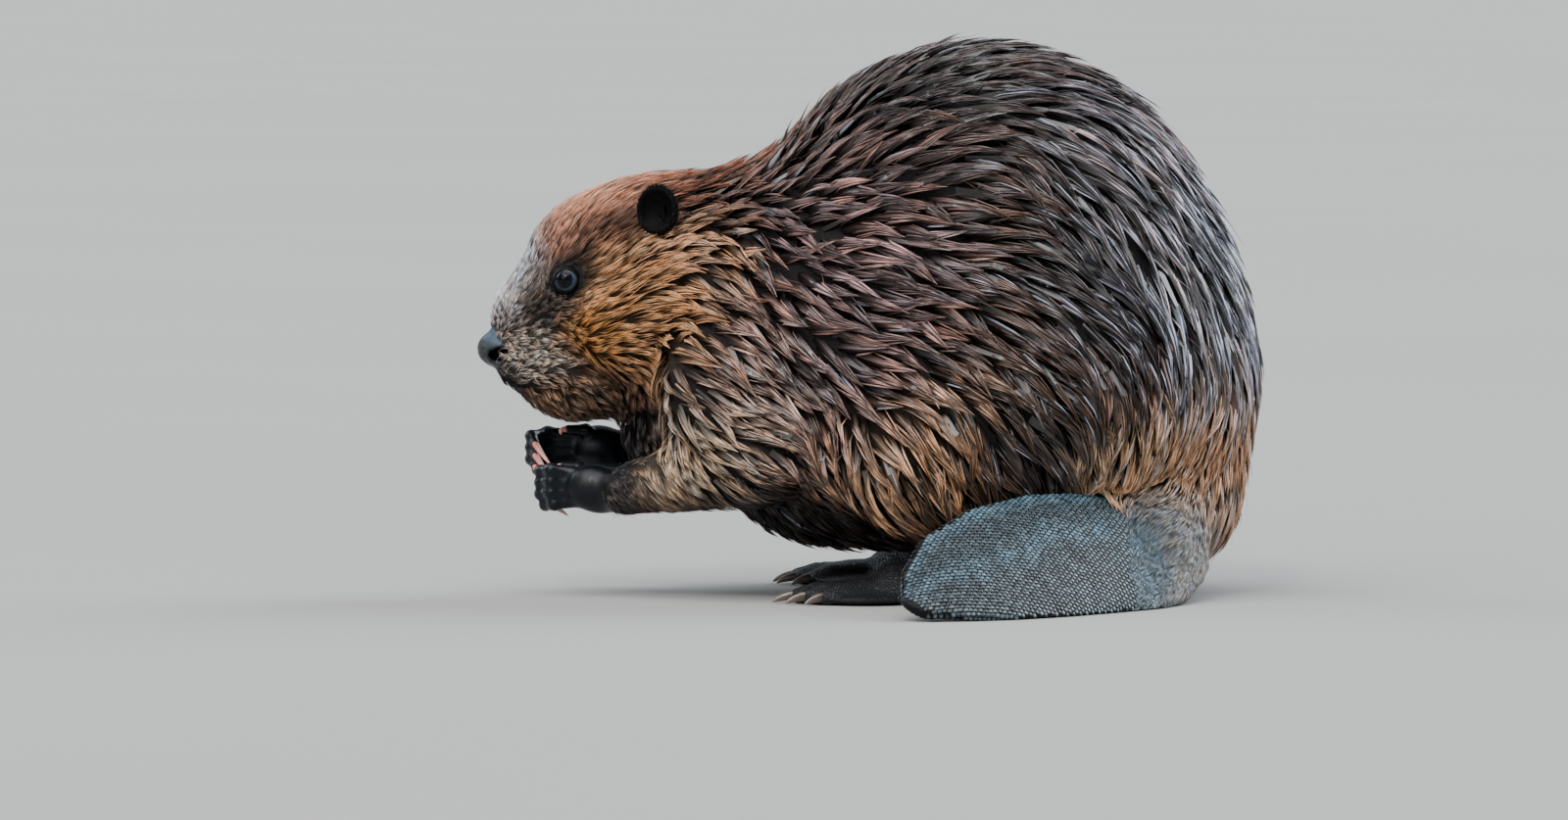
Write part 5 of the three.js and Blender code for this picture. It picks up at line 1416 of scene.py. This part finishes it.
def claws(name, horns, nodes, base_colour, tip_colour):
    vs, ts, qs, cs, n0 = [], [], [], [], 0
    for args in horns:
        v, tri, quad, t = horn(*args)
        t = np.concatenate([t, [0, 1]])[:, None]
        vs.append(v)
        ts.append(tri + n0)
        qs.append(quad + n0)
        cs.append(base_colour * (1 - t) + tip_colour * t)
        n0 += len(v)
    m_, t_, out_ = shader(name + "_horn", 0.28, 0.5, 0.4, 0.08)
    tint = node(t_, "ShaderNodeAttribute", attribute_name="tone").outputs["Color"]
    at_ = place_of(t_)
    t_.links.new(times(t_, tint, ramp(t_, noise(t_, at_, 420, 4), (0.3, (0.7, 0.7, 0.7)), (0.7, (1.2, 1.2, 1.2)))), out_.inputs["Base Color"])
    t_.links.new(bump(t_, noise(t_, at_, 900, 3), 0.35, 0.0002), out_.inputs["Normal"])
    ob = build(name, np.concatenate(vs), [np.concatenate(ts), np.concatenate(qs)], None, np.concatenate(cs), True, m_)
    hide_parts(*nodes)


FORE_BEND = {-1: (0.75, 0.25, -0.7), 1: (0.85, -0.2, -0.9)}
for h, digits, _w in HANDS:
    where = "left" if h["side"] < 0 else "right"
    horns = []
    for i, (ln, r) in enumerate(digits):
        aim = unit(ln[-1] - ln[-2])
        small = 0.6 if i == 4 else 1.0
        horns.append((ln[-1] + aim * 0.6, aim, 14.5 * small, 2.6 * (0.8 if i == 4 else 1.0), FORE_BEND[h["side"]], 0.55))
    claws(f"claws_fore_{where}", horns, [f"claw_fore_{where}_{i + 1}" for i in range(5)], srgb(196, 104, 98), srgb(226, 176, 164))
for side_ in (-1, 1):
    where = "left" if side_ < 0 else "right"
    horns = []
    for ln, r in FEET[side_]:
        aim = unit(ln[-1] - ln[-2])
        horns.append((ln[-1] + aim * 1.5 + np.array([0, 0, 0.6]), aim * (1, 1, 0.3), 14.5, 3.0, (0, 0, -1), 0.22))
    claws(f"claws_hind_{where}", horns, [f"claw_hind_{where}_{i + 1}" for i in range(5)], srgb(62, 52, 46), srgb(120, 104, 92))

# ------------------------------------------------------------------ eyes
def eyeball(s, eye):
    where = "left" if s < 0 else "right"
    n_, k_ = 36, 48
    look = unit(np.array([-0.32, s * 1.0, 0.06]))
    e1 = unit(np.cross(look, [0, 0, 1.0]))
    e2 = np.cross(e1, look)
    verts, rim = [eye + look * (EYE_R + 0.25)], [0.0]
    for i in range(1, n_):
        th = math.pi * i / n_
        bulge = 0.25 * math.exp(-((th / 0.55) ** 2))
        for j in range(k_):
            ph = 2 * math.pi * j / k_
            d = look * math.cos(th) + (e1 * math.cos(ph) + e2 * math.sin(ph)) * math.sin(th)
            verts.append(eye + d * (EYE_R + bulge))
            rim.append(math.degrees(th))
    verts.append(eye - look * EYE_R)
    rim.append(180.0)
    tri = [(0, 1 + j, 1 + (j + 1) % k_) for j in range(k_)]
    last = 1 + (n_ - 2) * k_
    tri += [(len(verts) - 1, last + (j + 1) % k_, last + j) for j in range(k_)]
    quad = [(1 + i * k_ + j, 1 + (i + 1) * k_ + j, 1 + (i + 1) * k_ + (j + 1) % k_, 1 + i * k_ + (j + 1) % k_) for i in range(n_ - 2) for j in range(k_)]
    v = np.array(verts)
    if np.cross(v[tri[0][1]] - v[0], v[tri[0][2]] - v[0]) @ look < 0:
        tri, quad = [x[::-1] for x in tri], [x[::-1] for x in quad]
    rim = np.array(rim)[:, None]
    pupil, iris, white = np.array([0.0005, 0.0005, 0.0007]), np.array([0.003, 0.004, 0.008]), np.array([0.050, 0.068, 0.100])
    a_ = step(20, 27, rim)
    b_ = step(41, 48, rim)
    col = (pupil * (1 - a_) + iris * a_) * (1 - b_) + white * b_
    m_, t_, out_ = shader(f"eye_wet_{where}", 0.06, 0.16, 0.0, 0.02)
    tint = node(t_, "ShaderNodeAttribute", attribute_name="tone").outputs["Color"]
    fibres = noise(t_, place_of(t_), 1400, 3)
    t_.links.new(times(t_, tint, ramp(t_, fibres, (0.3, (0.65, 0.65, 0.65)), (0.7, (1.35, 1.35, 1.35)))), out_.inputs["Base Color"])
    ob = build(f"eyeball_{where}", v, [np.array(tri), np.array(quad)], None, col, True, m_)
    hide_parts(f"eye_{where}")


def lids(s, eye):
    """The lids: a band of black skin over the ball, with a rounded rim round an almond opening, creases, and a groove at its front corner."""
    look = unit(np.array([-0.16, s * 1.0, 0.05]))
    e1 = unit(np.cross(look, [0, 0, 1.0]))
    e2 = np.cross(e1, look)
    if e1[0] > 0:
        e1 = -e1  # e1 points to the nose
    profile = [(0, 0.08), (-1.5, 0.30), (0.5, 0.62), (4, 0.86), (9, 0.92), (15, 1.05), (22, 1.15), (30, 1.1), (38, 0.8), (46, 0.4), (46, 0.12), (34, 0.12), (20, 0.12), (10, 0.1)]
    turns, g = 72, len(profile)
    v = []
    for i in range(turns):
        phi = 2 * math.pi * i / turns
        off = lambda a: (phi - a + math.pi) % (2 * math.pi) - math.pi  # noqa: E731
        front = math.exp(-((off(math.radians(-30)) / 0.34) ** 2))
        rear = math.exp(-((off(math.radians(160)) / 0.42) ** 2))
        upper = max(math.sin(phi), 0)
        rim = 53 + 12 * front + 4 * rear - 3.5 * upper
        for a, t in profile:
            al = math.radians(rim + a * (1 - 0.15 * front))
            if t > 0.3:
                crease = 0.45 * math.exp(-(((a - 17) / 4.5) ** 2)) * upper + 0.30 * math.exp(-(((a - 14) / 4) ** 2)) * max(-math.sin(phi), 0)
                t = t - crease - 0.55 * front * math.exp(-(((a - 6) / 12) ** 2)) + 0.07 * math.sin(11 * phi + a * 0.2)
                t += 0.5 * front * math.exp(-(((a - 30) / 14) ** 2))
            d = look * math.cos(al) + (e1 * math.cos(phi) + e2 * math.sin(phi)) * math.sin(al)
            v.append(eye + d * (EYE_R + max(t, 0.06)))
    v = np.array(v)
    quad = np.array([(i * g + j, i * g + (j + 1) % g, (i + 1) % turns * g + (j + 1) % g, (i + 1) % turns * g + j) for i in range(turns) for j in range(g)])
    a, b, c_, d_ = (v[quad[:, k]] - eye for k in range(4))
    if (np.cross(b - a, c_ - a) * a).sum() + (np.cross(c_ - a, d_ - a) * a).sum() < 0:
        quad = quad[:, ::-1]
    ob = build("lids_left" if s < 0 else "lids_right", v, [quad], None, np.tile(np.array(BARE["eye"]), (len(v), 1)), True, LID_SKIN)


for s_, eye_ in zip((-1, 1), EYES):
    eyeball(s_, eye_)
    lids(s_, eye_)


# ------------------------------------------------------------------ short hair of the ears
def ear_hair(s):
    e_rng = np.random.default_rng(31 + s)
    at = np.array((EAR["at"][0], EAR["at"][1] * -s, EAR["at"][2]), float)
    d = unit(e_rng.standard_normal((30000, 3)))
    p = at + d * np.array(EAR["r"]) @ turn_z(math.radians(EAR["yaw"] * s)).T
    p, n_ = onto(p, lambda Q: ear_shell(Q, s))
    p, n_ = onto(p, lambda Q: ear_shell(Q, s))
    cup = ear_hollow(p, s)
    ok = (cup > 0.25) & (-furred(p, bare=False) < 3.0)
    p, n_ = p[ok], n_[ok]
    p, n_, q = (lambda k: (p[k], n_[k], len(k)))(scatter(p, np.full(len(p), 0.72), 10**6))
    way_ = p - (at + np.array([-2.0, 0, -20.0]))
    way_ += e_rng.normal(0, 4.0, way_.shape)
    way_ = unit(way_ - n_ * (way_ * n_).sum(1, keepdims=True))
    length = e_rng.uniform(2.6, 5.2, q)[:, None, None]
    t = T_S[None, :, None]
    rise = e_rng.uniform(0.08, 0.30, q)[:, None, None]
    c = p[:, None] - n_[:, None] * 0.25 + way_[:, None] * length * t + n_[:, None] * length * rise * t - n_[:, None] * length * 0.10 * t**2
    tg = unit(np.gradient(c, axis=1))
    s_ = unit(np.cross(tg, n_[:, None]))
    u_ = unit(np.cross(s_, tg))
    w = (e_rng.uniform(0.22, 0.36, q)[:, None] * WIDE_S[None])[..., None]
    ring = np.stack([c - s_ * w / 2 - u_ * w * 0.14, c + u_ * w * 0.34, c + s_ * w / 2 - u_ * w * 0.14], 2)[:, :-1]
    places_ = np.stack([np.arctan2(p[:, 0] - at[0], p[:, 2] - at[2]) * 0.12 + 0.5, (p[:, 1] * s - 38) / 22], 1)
    v, f, uv = tufts(ring, c[:, -1], T_S, np.clip(places_, 0.003, 0.997), 3)
    base = np.array([0.0075, 0.0058, 0.0052]) * np.exp(e_rng.normal(0, 0.5, (q, 1)))
    col = base[:, None] * np.append(np.repeat([0.3, 1.0], 3), 1.5)[None, :, None]
    ob = build("coat_ear_left" if s < 0 else "coat_ear_right", v.reshape(-1, 3), f, uv, col.reshape(-1, 3), True, EAR_HAIR)


ear_hair(-1)
ear_hair(1)


# ------------------------------------------------------------------ whiskers
def whiskers():
    vs, ts, qs, n0 = [], [], [], 0
    w_rng = np.random.default_rng(23)
    sides, rings = 5, 9
    for s in (-1, 1):
        for rr, zz in enumerate((148, 143, 138, 133)):
            for cc in range(3):
                start = np.array([-204 + cc * 6.0 + (rr % 2) * 2, s * 26, zz - cc * 0.8], float)
                start, nrm = onto(onto(start[None], coat_base)[0], coat_base)
                start, nrm = start[0] - nrm[0] * 0.8, nrm[0]
                d0 = unit(nrm * 0.9 + np.array([-0.75 + 0.5 * cc, 0, 0.05 - 0.15 * rr]) + w_rng.normal(0, 0.12, 3))
                d1 = unit(np.array([0.55 + 0.25 * cc, s * 0.75, -0.45 - 0.1 * rr]) + w_rng.normal(0, 0.15, 3))
                length = w_rng.uniform(18, 32)
                t = np.linspace(0, 1, rings)[:, None]
                c = start + d0 * length * (t - 0.32 * t**2) + d1 * length * 0.32 * t**2
                d = unit(np.gradient(c, axis=0))
                u = unit(np.cross(d, [0.1, 0.2, 1.0]))
                w = np.cross(d, u)
                r = 0.13 * (1 - t[:-1, 0]) ** 0.7 + 0.015
                ang = np.arange(sides) * 2 * math.pi / sides
                ring = c[:-1, None] + (u[:-1, None] * np.cos(ang)[None, :, None] + w[:-1, None] * np.sin(ang)[None, :, None]) * r[:, None, None]
                vs.append(np.concatenate([ring.reshape(-1, 3), c[:1], c[-1:]]))
                k_ = rings - 1
                a_, b_ = k_ * sides, k_ * sides + 1
                q_ = [(i * sides + j, i * sides + (j + 1) % sides, (i + 1) * sides + (j + 1) % sides, (i + 1) * sides + j) for i in range(k_ - 1) for j in range(sides)]
                t_ = [(a_, (j + 1) % sides, j) for j in range(sides)] + [(b_, (k_ - 1) * sides + j, (k_ - 1) * sides + (j + 1) % sides) for j in range(sides)]
                v = vs[-1]
                if np.cross(v[q_[0][1]] - v[q_[0][0]], v[q_[0][2]] - v[q_[0][0]]) @ (v[q_[0][0]] - c[0]) < 0:
                    q_, t_ = [x[::-1] for x in q_], [x[::-1] for x in t_]
                qs.append(np.array(q_) + n0)
                ts.append(np.array(t_) + n0)
                n0 += len(v)
    m_, t_, out_ = shader("whisker", 0.4)
    at_ = place_of(t_)
    t_.links.new(ramp(t_, noise(t_, at_, 80, 2), (0.3, (0.18, 0.16, 0.14)), (0.7, (0.45, 0.42, 0.38))), out_.inputs["Base Color"])
    ob = build("whiskers", np.concatenate(vs), [np.concatenate(ts), np.concatenate(qs)], None, None, True, m_)


whiskers()

# ------------------------------------------------------------------ floor, light and camera
bpy.ops.mesh.primitive_plane_add(size=6000, location=(0, 0, 0))
floor = bpy.context.object
floor.name = "floor"
m_, t_, out_ = shader("pale_floor", 0.75, 0.2)
at_ = place_of(t_)
t_.links.new(ramp(t_, noise(t_, at_, 0.6, 3), (0.35, (0.335, 0.33, 0.315)), (0.65, (0.35, 0.345, 0.33))), out_.inputs["Base Color"])
floor.data.materials.append(m_)

world = bpy.data.worlds.new("overcast")
bpy.context.scene.world = world
world.use_nodes = True
wt = world.node_tree
back = wt.nodes["Background"]
co = node(wt, "ShaderNodeTexCoord").outputs["Generated"]
up_ = node(wt, "ShaderNodeSeparateXYZ", {"Vector": co}).outputs["Z"]
wt.links.new(ramp(wt, up_, (0.0, (0.42, 0.42, 0.40)), (0.25, (0.60, 0.63, 0.66)), (1.0, (0.80, 0.90, 1.0))), back.inputs["Color"])
back.inputs["Strength"].default_value = 0.50


def soft_sun(name, azimuth, height, spread, power, colour):
    """A broad light from far off: azimuth 0 stands behind the camera, 90 to its right."""
    data = bpy.data.lights.new(name, "SUN")
    data.angle, data.energy, data.color = math.radians(spread), power, colour
    ob = bpy.data.objects.new(name, data)
    bpy.context.scene.collection.objects.link(ob)
    ob.rotation_euler = (math.radians(90 - height), 0, math.radians(azimuth))
    return ob


soft_sun("sky_above", -20, 66, 62, 3.4, (0.98, 0.98, 1.0))
soft_sun("sky_behind", 122, 34, 40, 3.4, (0.84, 0.92, 1.0))
soft_sun("sky_ahead", -118, 30, 40, 1.5, (0.84, 0.92, 1.0))
soft_sun("front_fill", -32, 30, 50, 1.1, (1.0, 0.95, 0.88))
soft_sun("catch_light", -12, 42, 7, 0.65, (0.92, 0.96, 1.0))

MM_PER_PIXEL = 0.56
aim_at = row((-50.4, 0, 105.0))
DISTANCE, RISE = 6.0, math.radians(2.5)
cam = bpy.data.cameras.new("camera")
cam.sensor_width = 36
cam.lens = 36 * DISTANCE / (1600 * MM_PER_PIXEL / 1000)
cam_ob = bpy.data.objects.new("camera", cam)
bpy.context.scene.collection.objects.link(cam_ob)
cam_ob.location = aim_at + np.array([0, -math.cos(RISE), math.sin(RISE)]) * DISTANCE
cam_ob.rotation_euler = (math.pi / 2 - RISE, 0, 0)
bpy.context.scene.camera = cam_ob
